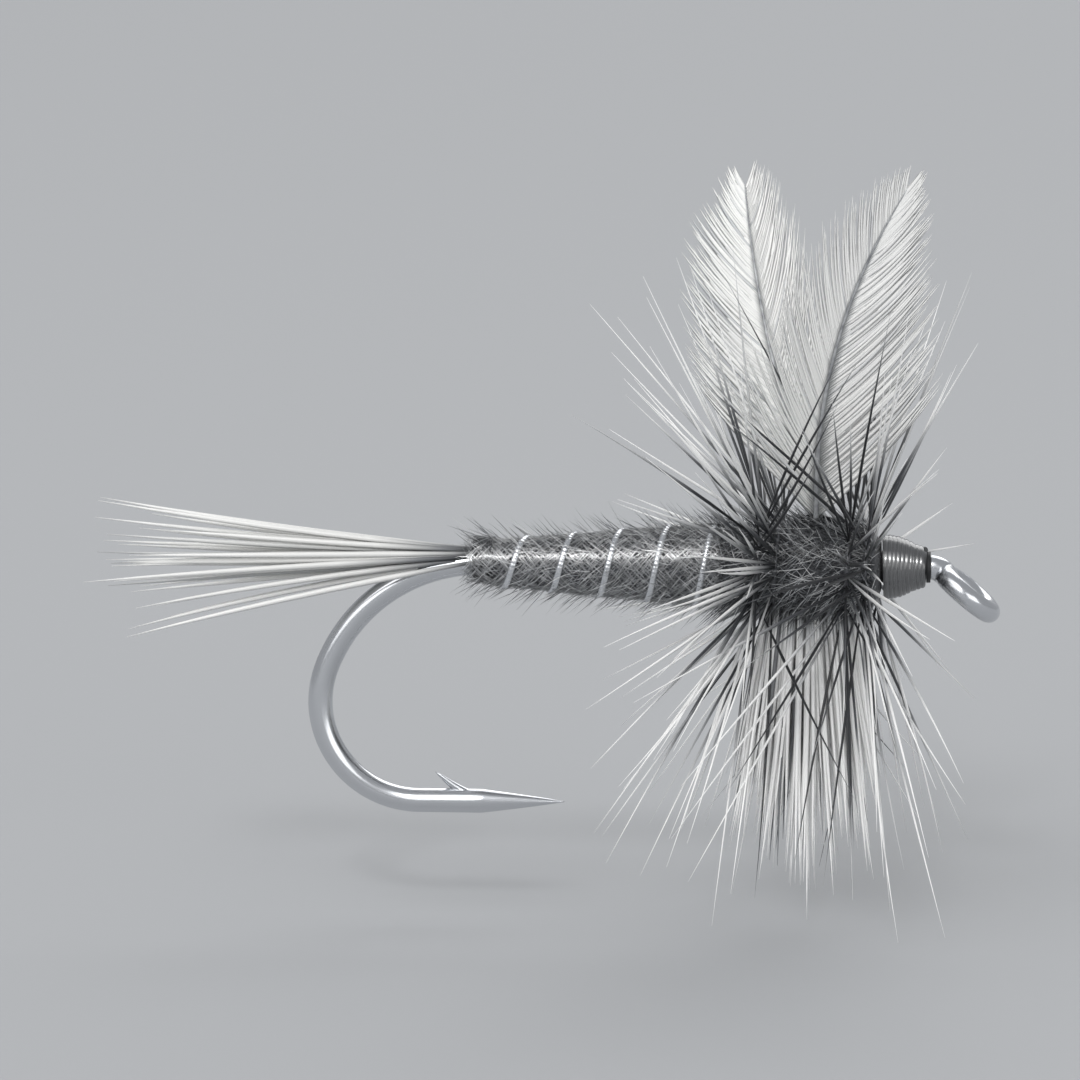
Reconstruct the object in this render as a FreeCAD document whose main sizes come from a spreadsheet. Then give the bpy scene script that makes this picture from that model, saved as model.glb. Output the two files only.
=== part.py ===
"""Dry fly on a size 10 hook: every dressing piece is its own solid, lashed along the shank.

Frame: millimetres, origin at the centre of the hook eye, +X forward, +Y to the fly's left, +Z up.
Stations are distances behind the eye, so a station of 5 lies at X = -5. Angles round the shank are
counted from straight down, over the fly's right side (-Y), to straight up at 180 degrees.
"""
import FreeCAD, Part
import math
import os

import Sketcher

os.makedirs("parts", exist_ok=True)
doc = FreeCAD.newDocument("dry_fly")
Vector = FreeCAD.Vector

# ---------------------------------------------------------------- driving dimensions
DIMENSIONS = [
    # hook wire
    ("wire_diameter", 0.62),
    ("shank_length", 11.3),
    ("neck_bend_radius", 0.45),
    ("hook_gap", 6.1),
    ("bend_throw", 4.1),
    ("lower_bend_radius", 2.5),
    ("spear_length", 1.6),
    ("point_length", 2.1),
    ("point_flat", 0.04),
    ("barb_reach", 1.17),
    ("barb_root_length", 0.65),
    ("barb_lift", 0.39),
    ("barb_width", 0.26),
    # eye
    ("eye_tilt", 40),
    ("eye_ring_radius", 0.78),
    ("eye_wire_diameter", 0.54),
    ("eye_bore_radius", 0.55),
    # thread
    ("lay_clearance", 0.01),
    ("underbody_thickness", 0.07),
    ("lashing_thickness", 0.06),
    ("thread_width", 0.15),
    ("thread_ridge", 0.035),
    # head
    ("cement_length", 0.16),
    ("cement_thickness", 0.12),
    ("whip_turns", 2),
    ("whip_radius", 0.53),
    ("head_turns", 5),
    ("head_front_radius", 0.58),
    ("head_back_radius", 0.82),
    # thorax and abdomen
    ("thorax_waist_radius", 0.95),
    ("thorax_bulge_radius", 1.14),
    ("thorax_rear_length", 0.75),
    ("abdomen_front_radius", 1.05),
    ("abdomen_rear_radius", 0.56),
    ("rib_width", 0.17),
    ("rib_sink", 0.08),
    ("rib_pitch", 1.2),
    ("rib_rear_margin", 0.3),
    ("rib_front_margin", 0.15),
    ("guard_hair_length", 0.55),
    ("guard_hair_width", 0.05),
    ("guard_hairs", 44),
    ("guard_hair_lean", 55),
    ("guard_hair_scatter", 7),
    # tail
    ("tail_lashing_length", 0.42),
    ("tail_lashing_overhang", 0.2),
    ("tail_length", 9.9),
    ("tail_fibre_width", 0.13),
    ("tail_root_width", 0.07),
    ("tail_row_step", 0.1),
    ("tail_rise", 10.5),
    ("tail_drop", 11.5),
    ("tail_side_spread", 9),
    ("tail_lashing_turns", 2),
    # wings
    ("wing_zone_length", 1.2),
    ("wing_spread", 20),
    ("right_wing_length", 10.7),
    ("left_wing_length", 10.2),
    ("wing_quill_width", 0.16),
    ("wing_quill_tip_width", 0.05),
    ("wing_quill_elbow", 0.18),
    ("wing_butt_length", 1.7),
    ("right_wing_lean", 2.4),
    ("left_wing_lean", 1.95),
    ("wing_cup", 8),
    ("inner_vane_follow", 0.3),
    ("wing_bare_length", 1.75),
    ("wing_barb_spacing", 0.36),
    ("wing_barb_slit", 0.03),
    ("wing_barb_thickness", 0.05),
    ("right_front_vane_barb_length", 4.35),
    ("right_rear_vane_barb_length", 3.9),
    ("left_front_vane_barb_length", 4.45),
    ("left_rear_vane_barb_length", 4.05),
    ("broad_vane_barb_angle", 38),
    ("narrow_vane_barb_angle", 21),
    ("tip_barb_angle", 25),
    ("narrow_vane_foot_opening", 14),
    ("wing_tip_bare", 0.43),
    ("post_wrap_thickness", 0.08),
    ("post_wrap_height", 0.6),
    ("crossing_thread_width", 0.07),
    ("crossing_thread_length", 1.0),
    ("crossing_thread_angle", 25),
    # hackle and throat
    ("hackle_turns", 2),
    ("hackle_pitch", 0.44),
    ("hackle_stem_width", 0.16),
    ("hackle_barb_length", 7.9),
    ("hackle_barb_width", 0.13),
    ("hackle_root_width", 0.05),
    ("hackle_slot_angle", 3.6),
    ("hackle_wing_gap", 7),
    ("rear_hackle_lean", 18),
    ("front_hackle_lean", 6),
    ("hackle_lean_scatter", 20),
    ("stray_barb_lean", 52),
    ("throat_half_angle", 12),
    ("throat_columns", 9),
    ("throat_rows", 5),
    ("throat_fibre_length", 7.0),
    ("throat_fibre_width", 0.15),
    ("throat_lean", 17),
    ("throat_root_length", 0.8),
]

sizes = doc.addObject("Spreadsheet::Sheet", "sizes")
for row, (alias, value) in enumerate(DIMENSIONS, start=1):
    sizes.set(f"A{row}", alias)
    sizes.set(f"B{row}", str(value))
    sizes.setAlias(f"B{row}", alias)
doc.recompute()


def number(expression):
    """Value of an expression written on the sheet's aliases."""
    result = sizes.evalExpression(expression)
    return float(getattr(result, "Value", result))


# ---------------------------------------------------------------- stations and radii
# Each one is written once as an expression on the sheet; code-made shapes read its number.
CLEARANCE = "sizes.lay_clearance"
SHANK_HEIGHT = (
    "(sizes.eye_ring_radius * sin(sizes.eye_tilt)"
    " + sizes.neck_bend_radius * (1 - cos(sizes.eye_tilt)))"
)
NECK_END = (
    "(sizes.eye_ring_radius * cos(sizes.eye_tilt)"
    " + sizes.neck_bend_radius * sin(sizes.eye_tilt))"
)
SHANK_END = f"({NECK_END} + sizes.shank_length)"
BEND_CENTRE = f"({SHANK_END} + sizes.bend_throw - sizes.lower_bend_radius)"
SPEAR_END = f"({BEND_CENTRE} - sizes.spear_length)"

WHIP_START = f"({NECK_END} + sizes.cement_length)"
HEAD_START = f"({WHIP_START} + sizes.whip_turns * sizes.thread_width + {CLEARANCE})"
HEAD_END = f"({HEAD_START} + sizes.head_turns * sizes.thread_width)"
THORAX_START = f"({HEAD_END} + {CLEARANCE})"
HACKLE_WIDTH = "(sizes.hackle_turns * sizes.hackle_pitch + sizes.hackle_stem_width)"
WING_ZONE_START = f"({THORAX_START} + {HACKLE_WIDTH})"
WING_STATION = f"({WING_ZONE_START} + sizes.wing_zone_length / 2)"
WING_ZONE_END = f"({WING_ZONE_START} + sizes.wing_zone_length)"
REAR_HACKLE_END = f"({WING_ZONE_END} + {HACKLE_WIDTH})"
THORAX_END = f"({REAR_HACKLE_END} + sizes.thorax_rear_length)"
TAIL_LASHING_END = f"({SHANK_END} + sizes.tail_lashing_overhang)"
TAIL_LASHING_START = f"({TAIL_LASHING_END} - sizes.tail_lashing_length)"
ABDOMEN_START = f"({THORAX_END} + {CLEARANCE})"
ABDOMEN_END = f"({TAIL_LASHING_START} - {CLEARANCE})"

UNDERBODY_BORE = f"(sizes.wire_diameter / 2 + {CLEARANCE})"
UNDERBODY_RADIUS = f"({UNDERBODY_BORE} + sizes.underbody_thickness)"
DRESSING_BORE = f"({UNDERBODY_RADIUS} + {CLEARANCE})"
LASHING_BORE = f"({DRESSING_BORE} + sizes.wing_quill_width + {CLEARANCE})"
LASHING_RADIUS = f"({LASHING_BORE} + sizes.lashing_thickness)"
THORAX_BORE = f"({LASHING_RADIUS} + {CLEARANCE})"
POST_BORE = f"(sizes.wing_quill_width / sqrt(2) + {CLEARANCE})"
POST_RADIUS = f"({POST_BORE} + sizes.post_wrap_thickness)"
POST_START = f"({LASHING_BORE} + sizes.wing_quill_elbow)"
POST_END = f"({POST_START} + sizes.post_wrap_height)"
# a wound stem is straight between bends, so its corners stand out by this factor
STEM_BENDS = 14
STEM_SWELL = f"(1 / cos(180 / {STEM_BENDS}))"
STEM_INSIDE = f"((sizes.thorax_waist_radius + {CLEARANCE}) * {STEM_SWELL})"
HACKLE_SEAT = f"({STEM_INSIDE} + sizes.hackle_stem_width / 2)"
ROOT_RADIUS = f"({HACKLE_SEAT} + sizes.hackle_stem_width / 2 + {CLEARANCE})"
# the tail's two rows at the lashing, from the underbody to the top of the upper row
TAIL_BUNDLE = f"(sizes.tail_row_step + sizes.tail_root_width + 3 * {CLEARANCE})"


# ---------------------------------------------------------------- helpers
def bind(item, links):
    """Tie properties of a document object to expressions."""
    for path, expression in links.items():
        item.setExpression(path, expression)


def seat_on_shank(item, lift="0"):
    """Turn an object so that its +X runs back along the shank axis from the eye."""
    item.Placement = FreeCAD.Placement(Vector(0, 0, 0), FreeCAD.Rotation(Vector(0, 0, 1), 180))
    bind(item, {"Placement.Base.z": f"{SHANK_HEIGHT} + {lift}"})


def origin_plane(body, role):
    """One of a body's own origin planes."""
    return next(item for item in body.Origin.OriginFeatures if item.Role == role)


def closed_sketch(body, name, corners):
    """A closed polygon on the body's XZ plane; each corner is a pair of expressions."""
    sketch = body.newObject("Sketcher::SketchObject", name)
    sketch.AttachmentSupport = (origin_plane(body, "XZ_Plane"), [""])
    sketch.MapMode = "FlatFace"
    points = [Vector(number(along), number(out), 0) for along, out in corners]
    for index, point in enumerate(points):
        sketch.addGeometry(Part.LineSegment(point, points[(index + 1) % len(points)]), False)
    for index, corner in enumerate(corners):
        following = (index + 1) % len(points)
        sketch.addConstraint(Sketcher.Constraint("Coincident", index, 2, following, 1))
        for kind, expression, value in (
            ("DistanceX", corner[0], points[index].x),
            ("DistanceY", corner[1], points[index].y),
        ):
            label = f"{kind}_{index}"
            sketch.addConstraint(Sketcher.Constraint(kind, -1, 1, index, 1, value))
            sketch.renameConstraint(sketch.ConstraintCount - 1, label)
            sketch.setExpression(f"Constraints.{label}", expression)
    return sketch


def turned_body(label, corners, axis="H_Axis"):
    """A body turned from a closed profile about one of its sketch axes."""
    body = doc.addObject("PartDesign::Body", label)
    sketch = closed_sketch(body, f"{label}_profile", corners)
    turn = body.newObject("PartDesign::Revolution", f"{label}_turn")
    turn.Profile = sketch
    turn.ReferenceAxis = (sketch, [axis])
    turn.Angle = 360
    sketch.Visibility = False
    return body


def sleeve(start, end, bore, radius):
    """Profile corners of a plain tube round the shank."""
    return [(start, bore), (end, bore), (end, radius), (start, radius)]


def thread_turns(start, bore, radii, step="sizes.thread_width"):
    """Profile corners of a tube of side-by-side thread turns; radii gives one crest per turn."""
    end = f"({start} + {len(radii)} * {step})"
    corners = [(end, bore), (start, bore)]
    for turn, radius in enumerate(radii):
        corners.append((f"({start} + {turn} * {step})", f"({radius} - sizes.thread_ridge)"))
        corners.append((f"({start} + {turn + 0.5} * {step})", radius))
    corners.append((end, f"({radii[-1]} - sizes.thread_ridge)"))
    return corners


FLATNESS = 1e-9  # how far a four-cornered face may be from flat, as a volume


def flat_faces(corners):
    """One face through four corners, or two where they don't lie in one plane."""
    low, after, beyond, high = corners
    lift = (after - low).cross(high - low).dot(beyond - low)
    if abs(lift) < FLATNESS:
        return [Part.Face(Part.makePolygon([low, after, beyond, high, low]))]
    halves = ((low, after, beyond, low), (low, beyond, high, low))
    return [Part.Face(Part.makePolygon(half)) for half in halves]


def facet_solid(sections, tip=None):
    """A flat-faced solid through matching polygons, closed by a polygon or by a tip point."""
    faces = [Part.Face(Part.makePolygon(sections[0] + sections[0][:1]))]
    for near, far in zip(sections, sections[1:]):
        for index, corner in enumerate(near):
            after = (index + 1) % len(near)
            faces += flat_faces([corner, near[after], far[after], far[index]])
    last = sections[-1]
    if tip is None:
        faces.append(Part.Face(Part.makePolygon(last + last[:1])))
    else:
        for index, corner in enumerate(last):
            after = (index + 1) % len(last)
            faces.append(Part.Face(Part.makePolygon([corner, last[after], tip, corner])))
    solid = Part.Solid(Part.Shell(faces))
    if solid.Volume < 0:
        solid.reverse()
    return solid


def square(centre, across, up, width):
    """Corners of a square of the given width, on two unit directions."""
    half = width / 2
    steps = ((-half, -half), (half, -half), (half, half), (-half, half))
    return [centre + across * a + up * b for a, b in steps]


def triangle(centre, across, up, width):
    """Corners of a triangle that fits in a square of the given width."""
    half = width / 2
    return [centre + across * a + up * b for a, b in ((-half, -half), (half, -half), (0, half))]


FIBRE_BELLY = 0.35  # how far out along a fibre it is fullest


def straight_fibre(root, direction, side, length, root_width, belly_width):
    """A feather fibre: thin where it is tied, fullest a third of the way out, then a fine tip."""
    other = direction.cross(side).normalize()
    belly = root + direction * (FIBRE_BELLY * length)
    sections = [triangle(root, side, other, root_width), triangle(belly, side, other, belly_width)]
    return facet_solid(sections, root + direction * length)


def group(label, solids):
    """Several separate solids kept as one named object."""
    item = doc.addObject("Part::Feature", label)
    item.Shape = Part.makeCompound(solids)
    item.Placement = FreeCAD.Placement()
    return item


GOLDEN_SHARE = (math.sqrt(5) - 1) / 2
FIBRE_SCATTER = 0.16  # the shortest fibre of a bunch is this share shorter than the longest


def scatter(index, seed=0.0):
    """Even, repeatable scatter between 0 and 1 for the index-th fibre."""
    return (index * GOLDEN_SHARE + seed) % 1.0


def scattered_length(length, index, seed):
    """Length of the index-th fibre of a bunch whose longest is the given length."""
    return length * (1 - FIBRE_SCATTER * scatter(index, seed))


def outward(angle):
    """Unit direction away from the shank at an angle counted from straight down."""
    turn = math.radians(angle)
    return Vector(0, -math.sin(turn), -math.cos(turn))


# ---------------------------------------------------------------- hook
WIRE_SIDES = 10  # flats round the wire's section, enough to read as round


def hook_path():
    """Centreline of the wire: neck, shank, two-radius bend and spear, in one tangent chain."""
    sketch = doc.addObject("Sketcher::SketchObject", "wire_path")
    # the sketch's X runs back along the shank and its Y runs down
    upright = FreeCAD.Rotation(Vector(1, 0, 0), 90)
    sketch.Placement.Rotation = FreeCAD.Rotation(Vector(0, 1, 0), 180) * upright
    tilt = math.radians(number("sizes.eye_tilt"))
    neck_radius = number("sizes.neck_bend_radius")
    neck_end = number(NECK_END)
    shank_end = number(SHANK_END)
    gap = number("sizes.hook_gap")
    throw = number("sizes.bend_throw")
    lower = number("sizes.lower_bend_radius")
    turn = 2 * math.atan2(gap - 2 * lower, throw - lower)
    upper = lower + (throw - lower) / math.sin(turn)
    centre = shank_end + throw - lower
    spear_end = centre - number("sizes.spear_length")

    def arc(x, y, radius, start, end):
        circle = Part.Circle(Vector(x, y, 0), Vector(0, 0, 1), radius)
        return Part.ArcOfCircle(circle, start, end)

    quarter = math.pi / 2
    neck = sketch.addGeometry(arc(neck_end, neck_radius, neck_radius, -quarter - tilt, -quarter))
    shank = sketch.addGeometry(Part.LineSegment(Vector(neck_end, 0), Vector(shank_end, 0)))
    upper_bend = sketch.addGeometry(arc(shank_end, upper, upper, -quarter, turn - quarter))
    lower_bend = sketch.addGeometry(arc(centre, gap - lower, lower, turn - quarter, quarter))
    spear = sketch.addGeometry(Part.LineSegment(Vector(centre, gap), Vector(spear_end, gap)))

    def hold(*values):
        return sketch.addConstraint(Sketcher.Constraint(*values))

    hold("Tangent", neck, 2, shank, 1)
    hold("Tangent", shank, 2, upper_bend, 1)
    hold("Tangent", upper_bend, 2, lower_bend, 1)
    hold("Tangent", lower_bend, 2, spear, 1)
    hold("PointOnObject", shank, 1, -1)
    hold("PointOnObject", shank, 2, -1)
    hold("Horizontal", spear)
    eye_side = "sizes.eye_ring_radius * cos(sizes.eye_tilt)"
    measures = (
        ("neck_radius", ("Radius", neck, neck_radius), "sizes.neck_bend_radius"),
        ("neck_start", ("DistanceX", -1, 1, neck, 1, number(eye_side)), eye_side),
        ("shank_start", ("DistanceX", -1, 1, shank, 1, neck_end), NECK_END),
        ("shank_run", ("DistanceX", shank, 1, shank, 2, shank_end - neck_end), "sizes.shank_length"),
        ("lower_radius", ("Radius", lower_bend, lower), "sizes.lower_bend_radius"),
        ("bend_centre", ("DistanceX", -1, 1, lower_bend, 3, centre), BEND_CENTRE),
        ("gap", ("DistanceY", -1, 1, spear, 1, gap), "sizes.hook_gap"),
        ("spear_run", ("DistanceX", spear, 2, spear, 1, centre - spear_end), "sizes.spear_length"),
    )
    for name, values, expression in measures:
        sketch.renameConstraint(hold(*values), name)
        sketch.setExpression(f"Constraints.{name}", expression)
    bind(sketch, {"Placement.Base.z": SHANK_HEIGHT})
    return sketch


def hook():
    """Wire, pointed spear, raised barb and down-turned ring eye, forged as one piece."""
    path = hook_path()
    section = doc.addObject("Part::RegularPolygon", "wire_section")
    section.Polygon = WIRE_SIDES
    section.Placement.Rotation = FreeCAD.Rotation(Vector(0, 1, 0), 90)
    bind(section, {
        "Circumradius": "sizes.wire_diameter / 2",
        "Placement.Base.x": "-sizes.eye_ring_radius * cos(sizes.eye_tilt)",
        "Placement.Base.z": "sizes.eye_ring_radius * sin(sizes.eye_tilt)",
        "Placement.Rotation.Angle": "sizes.eye_tilt + 90",
    })
    wire = doc.addObject("Part::Sweep", "wire")
    doc.recompute()
    wire.Sections = [section]
    wire.Spine = (path, [f"Edge{index + 1}" for index in range(len(path.Shape.Edges))])
    wire.Solid = True
    wire.Frenet = True

    point = doc.addObject("Part::Cone", "hook_point")
    point.Placement.Rotation = FreeCAD.Rotation(Vector(0, 1, 0), 90)
    bind(point, {
        "Radius1": "sizes.wire_diameter / 2",
        "Radius2": "sizes.point_flat / 2",
        "Height": "sizes.point_length",
        "Placement.Base.x": f"-{SPEAR_END}",
        "Placement.Base.z": f"{SHANK_HEIGHT} - sizes.hook_gap",
    })

    barb = doc.addObject("PartDesign::Body", "barb_body")
    buried = "(sizes.hook_gap - sizes.wire_diameter / 4)"
    raised = "(sizes.hook_gap - sizes.wire_diameter / 2 - sizes.barb_lift)"
    outline = closed_sketch(barb, "barb_profile", [
        (f"({SPEAR_END} + sizes.barb_reach - 1.5 * sizes.barb_root_length)", buried),
        (f"({SPEAR_END} + sizes.barb_reach - sizes.barb_root_length / 2)", buried),
        (f"({SPEAR_END} + sizes.barb_reach)", raised),
    ])
    pad = barb.newObject("PartDesign::Pad", "barb_pad")
    pad.Profile = outline
    pad.Midplane = True
    bind(pad, {"Length": "sizes.barb_width"})
    barb.Placement.Rotation = FreeCAD.Rotation(Vector(0, 1, 0), 180)
    bind(barb, {"Placement.Base.z": SHANK_HEIGHT})

    ring_section = doc.addObject("Part::RegularPolygon", "eye_ring_section")
    ring_section.Polygon = WIRE_SIDES
    ring_section.Placement.Rotation = FreeCAD.Rotation(Vector(1, 0, 0), 90)
    bind(ring_section, {
        "Circumradius": "sizes.eye_wire_diameter / 2",
        "Placement.Base.x": "sizes.eye_ring_radius",
    })
    ring = doc.addObject("Part::Revolution", "eye_ring")
    ring.Source = ring_section
    ring.Axis = Vector(0, 0, 1)
    ring.Angle = 360
    ring.Solid = True
    ring.Placement.Rotation = FreeCAD.Rotation(Vector(0, 1, 0), 45)
    bind(ring, {"Placement.Rotation.Angle": "sizes.eye_tilt"})
    forging = doc.addObject("Part::MultiFuse", "hook_forging")
    forging.Shapes = [wire, point, barb, ring]

    land = doc.addObject("Part::Cylinder", "eye_land")
    land.Placement.Rotation = FreeCAD.Rotation(Vector(0, 1, 0), 45)
    bind(land, {
        "Radius": "sizes.eye_bore_radius",
        "Height": "sizes.eye_wire_diameter * 2",
        "Placement.Rotation.Angle": "sizes.eye_tilt",
        "Placement.Base.x": "-sizes.eye_wire_diameter * sin(sizes.eye_tilt)",
        "Placement.Base.z": "-sizes.eye_wire_diameter * cos(sizes.eye_tilt)",
    })
    item = doc.addObject("Part::Cut", "hook")
    item.Base = forging
    item.Tool = land
    return item


# ---------------------------------------------------------------- thread
def thread_underbody():
    """First layer of thread, from the eye's neck to the bend."""
    item = turned_body(
        "thread_underbody", sleeve(NECK_END, TAIL_LASHING_END, UNDERBODY_BORE, UNDERBODY_RADIUS)
    )
    seat_on_shank(item)
    return item


def lashing(label, start, end):
    """Thread turns that bind the wing butts and hackle stems down, under the thorax."""
    item = turned_body(label, sleeve(start, end, LASHING_BORE, LASHING_RADIUS))
    seat_on_shank(item)
    return item


def head_pieces():
    """Cement collar against the neck, whip finish in front and tapered head behind it."""
    cement = turned_body("head_cement", [
        (f"({NECK_END} + {CLEARANCE})", DRESSING_BORE),
        (f"({WHIP_START} - {CLEARANCE})", DRESSING_BORE),
        (f"({WHIP_START} - {CLEARANCE})", f"({DRESSING_BORE} + sizes.cement_thickness)"),
        (f"({NECK_END} + {CLEARANCE})", f"({DRESSING_BORE} + sizes.cement_thickness / 3)"),
    ])
    whip_count = int(number("sizes.whip_turns"))
    head_count = int(number("sizes.head_turns"))
    whip = turned_body(
        "whip_finish", thread_turns(WHIP_START, DRESSING_BORE, ["sizes.whip_radius"] * whip_count)
    )
    # the head swells quickly from its front, then levels off
    rise = "(sizes.head_back_radius - sizes.head_front_radius)"
    crests = [
        f"(sizes.head_front_radius + {rise} * sin(90 * {turn} / {head_count}))"
        for turn in range(1, head_count + 1)
    ]
    head = turned_body("head_thread_wraps", thread_turns(HEAD_START, DRESSING_BORE, crests))
    for item in (cement, whip, head):
        seat_on_shank(item)
    return [cement, whip, head]


# ---------------------------------------------------------------- tail
TAIL_ROWS = (5, 6)  # fibres in the lower and the upper row
TAIL_SPLAY = 25  # half the angle that the lower row takes round the top of the shank
UPPER_ROW_FALL = 0.85  # share of its climb that the upper row loses at its sides
LOWER_ROW_DROP = 0.1  # share of its drop that the lower row has in its middle


def tail():
    """Stiff fibres laid on top of the shank in two rows, bound at the bend and fanned behind it."""
    root = number("sizes.tail_root_width")
    belly = number("sizes.tail_fibre_width")
    length = number("sizes.tail_length")
    start, end = number(TAIL_LASHING_START), number(TAIL_LASHING_END)
    height = number(SHANK_HEIGHT)
    rise, drop = number("sizes.tail_rise"), number("sizes.tail_drop")
    spread = number("sizes.tail_side_spread")
    across, up = Vector(0, 1, 0), Vector(0, 0, 1)
    lower_row = number(f"{UNDERBODY_RADIUS} + {CLEARANCE} + sizes.tail_root_width / sqrt(2)")
    step = 2 * TAIL_SPLAY / (TAIL_ROWS[0] - 1)
    solids = []
    for row, count in enumerate(TAIL_ROWS):
        radius = lower_row + row * number("sizes.tail_row_step")
        for index in range(count):
            # the upper row's fibres lie over the gaps of the lower row
            place = index - (count - 1) / 2
            share = place / ((count - 1) / 2)
            angle = 180 + place * step * lower_row / radius
            seat = outward(angle) * radius + Vector(0, 0, height)
            # the upper row's middle climbs most, the lower row's sides drop most
            aside = abs(share)
            climb = rise * (1 - UPPER_ROW_FALL * aside)
            if row == 0:
                climb = -drop * (LOWER_ROW_DROP + (1 - LOWER_ROW_DROP) * aside)
            reach = scattered_length(length, index + row * TAIL_ROWS[0], 0.3)
            slope = Vector(
                -1, math.tan(math.radians(spread * share)), math.tan(math.radians(climb))
            )
            bend = seat + Vector(-end, 0, 0)
            sections = [
                square(seat + Vector(-start, 0, 0), across, up, root),
                square(bend, across, up, root),
                square(bend + slope * (reach / 2), across, up, belly),
            ]
            solids.append(facet_solid(sections, bend + slope * reach))
    fibres = group("tail_fibres", solids)

    bore = f"({UNDERBODY_RADIUS} + {TAIL_BUNDLE} / 2 + 2 * {CLEARANCE})"
    turns = int(number("sizes.tail_lashing_turns"))
    step = "(sizes.tail_lashing_length / sizes.tail_lashing_turns)"
    radius = f"({bore} + sizes.lashing_thickness)"
    wraps = turned_body(
        "tail_lashing", thread_turns(TAIL_LASHING_START, bore, [radius] * turns, step)
    )
    seat_on_shank(wraps, f"{TAIL_BUNDLE} / 2")
    return [fibres, wraps]


# ---------------------------------------------------------------- abdomen and rib
# turns a four-cornered section into an axial plane, with its flat sides along and across the shank
FLAT_SIDES = FreeCAD.Rotation(Vector(1, 0, 0), 90) * FreeCAD.Rotation(Vector(0, 0, 1), 45)


def rib_sweep(label, extra):
    """A conical coil that follows the abdomen's taper; extra is what the seat adds all round."""
    length = f"({ABDOMEN_END} - {ABDOMEN_START})"
    taper = f"atan((sizes.abdomen_front_radius - sizes.abdomen_rear_radius) / {length})"
    start = f"({ABDOMEN_END} - sizes.rib_rear_margin)"
    coil_length = f"({length} - sizes.rib_rear_margin - sizes.rib_front_margin)"
    radius = (
        f"(sizes.abdomen_rear_radius + sizes.rib_rear_margin * tan({taper})"
        " + sizes.rib_width / 2 - sizes.rib_sink)"
    )
    coil = doc.addObject("Part::Helix", f"{label}_coil")
    coil.LocalCoord = "Left-handed"
    coil.Placement.Rotation = FreeCAD.Rotation(Vector(0, 1, 0), 90)
    bind(coil, {
        "Pitch": "sizes.rib_pitch",
        "Height": coil_length,
        "Radius": radius,
        "Angle": taper,
        "Placement.Base.x": f"-{start}",
        "Placement.Base.z": SHANK_HEIGHT,
    })
    section = doc.addObject("Part::RegularPolygon", f"{label}_section")
    section.Polygon = 4
    section.Placement.Rotation = FLAT_SIDES
    bind(section, {
        "Circumradius": f"(sizes.rib_width / 2 + {extra}) * sqrt(2)",
        "Placement.Base.x": f"-{start}",
        "Placement.Base.z": f"{SHANK_HEIGHT} - {radius}",
    })
    sweep = doc.addObject("Part::Sweep", label)
    doc.recompute()
    sweep.Sections = [section]
    sweep.Spine = (coil, [f"Edge{index + 1}" for index in range(len(coil.Shape.Edges))])
    sweep.Solid = True
    sweep.Frenet = True
    return sweep


def abdomen_pieces():
    """Dubbed abdomen with a coiled seat cut in it, and the tinsel rib that lies in the seat."""
    dubbing = turned_body("abdomen_dubbing", [
        (ABDOMEN_START, DRESSING_BORE),
        (ABDOMEN_END, DRESSING_BORE),
        (ABDOMEN_END, "sizes.abdomen_rear_radius"),
        (ABDOMEN_START, "sizes.abdomen_front_radius"),
    ])
    seat_on_shank(dubbing)
    rib = rib_sweep("rib_tinsel", "0")
    seat = rib_sweep("rib_seat", CLEARANCE)
    abdomen = doc.addObject("Part::Cut", "abdomen")
    abdomen.Base = dubbing
    abdomen.Tool = seat
    return [abdomen, rib]


def abdomen_radius(station):
    """Radius of the abdomen's surface at a station."""
    start, end = number(ABDOMEN_START), number(ABDOMEN_END)
    front, rear = number("sizes.abdomen_front_radius"), number("sizes.abdomen_rear_radius")
    return front + (rear - front) * (station - start) / (end - start)


def guard_hairs():
    """Coarse hairs that stand out of the dubbing between the ribs and lean back."""
    count = int(number("sizes.guard_hairs"))
    length, width = number("sizes.guard_hair_length"), number("sizes.guard_hair_width")
    mean_lean, lean_scatter = number("sizes.guard_hair_lean"), number("sizes.guard_hair_scatter")
    pitch = number("sizes.rib_pitch")
    first = number(ABDOMEN_END) - number("sizes.rib_rear_margin")
    coils = int((first - number(ABDOMEN_START)) / pitch)
    height = number(SHANK_HEIGHT)
    clear = number(CLEARANCE)
    solids = []
    for index in range(count):
        angle = 360 * scatter(index)
        coil = index % coils
        # the rib passes this angle once a coil, and a hair stands midway between two passes
        station = first - pitch * (coil + angle / 360 + 0.5)
        if station < number(ABDOMEN_START) + width:
            continue
        radial = outward(angle)
        lean = math.radians(mean_lean + lean_scatter * (2 * scatter(index, 0.5) - 1))
        direction = radial * math.cos(lean) + Vector(-math.sin(lean), 0, 0)
        side = radial.cross(Vector(1, 0, 0)).normalize()
        rise = abdomen_radius(station) + clear + width
        root = Vector(-station, 0, height) + radial * rise
        other = direction.cross(side)
        reach = scattered_length(length, index, 0.2)
        solids.append(facet_solid([square(root, side, other, width)], root + direction * reach))
    return group("abdomen_guard_hairs", solids)


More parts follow.
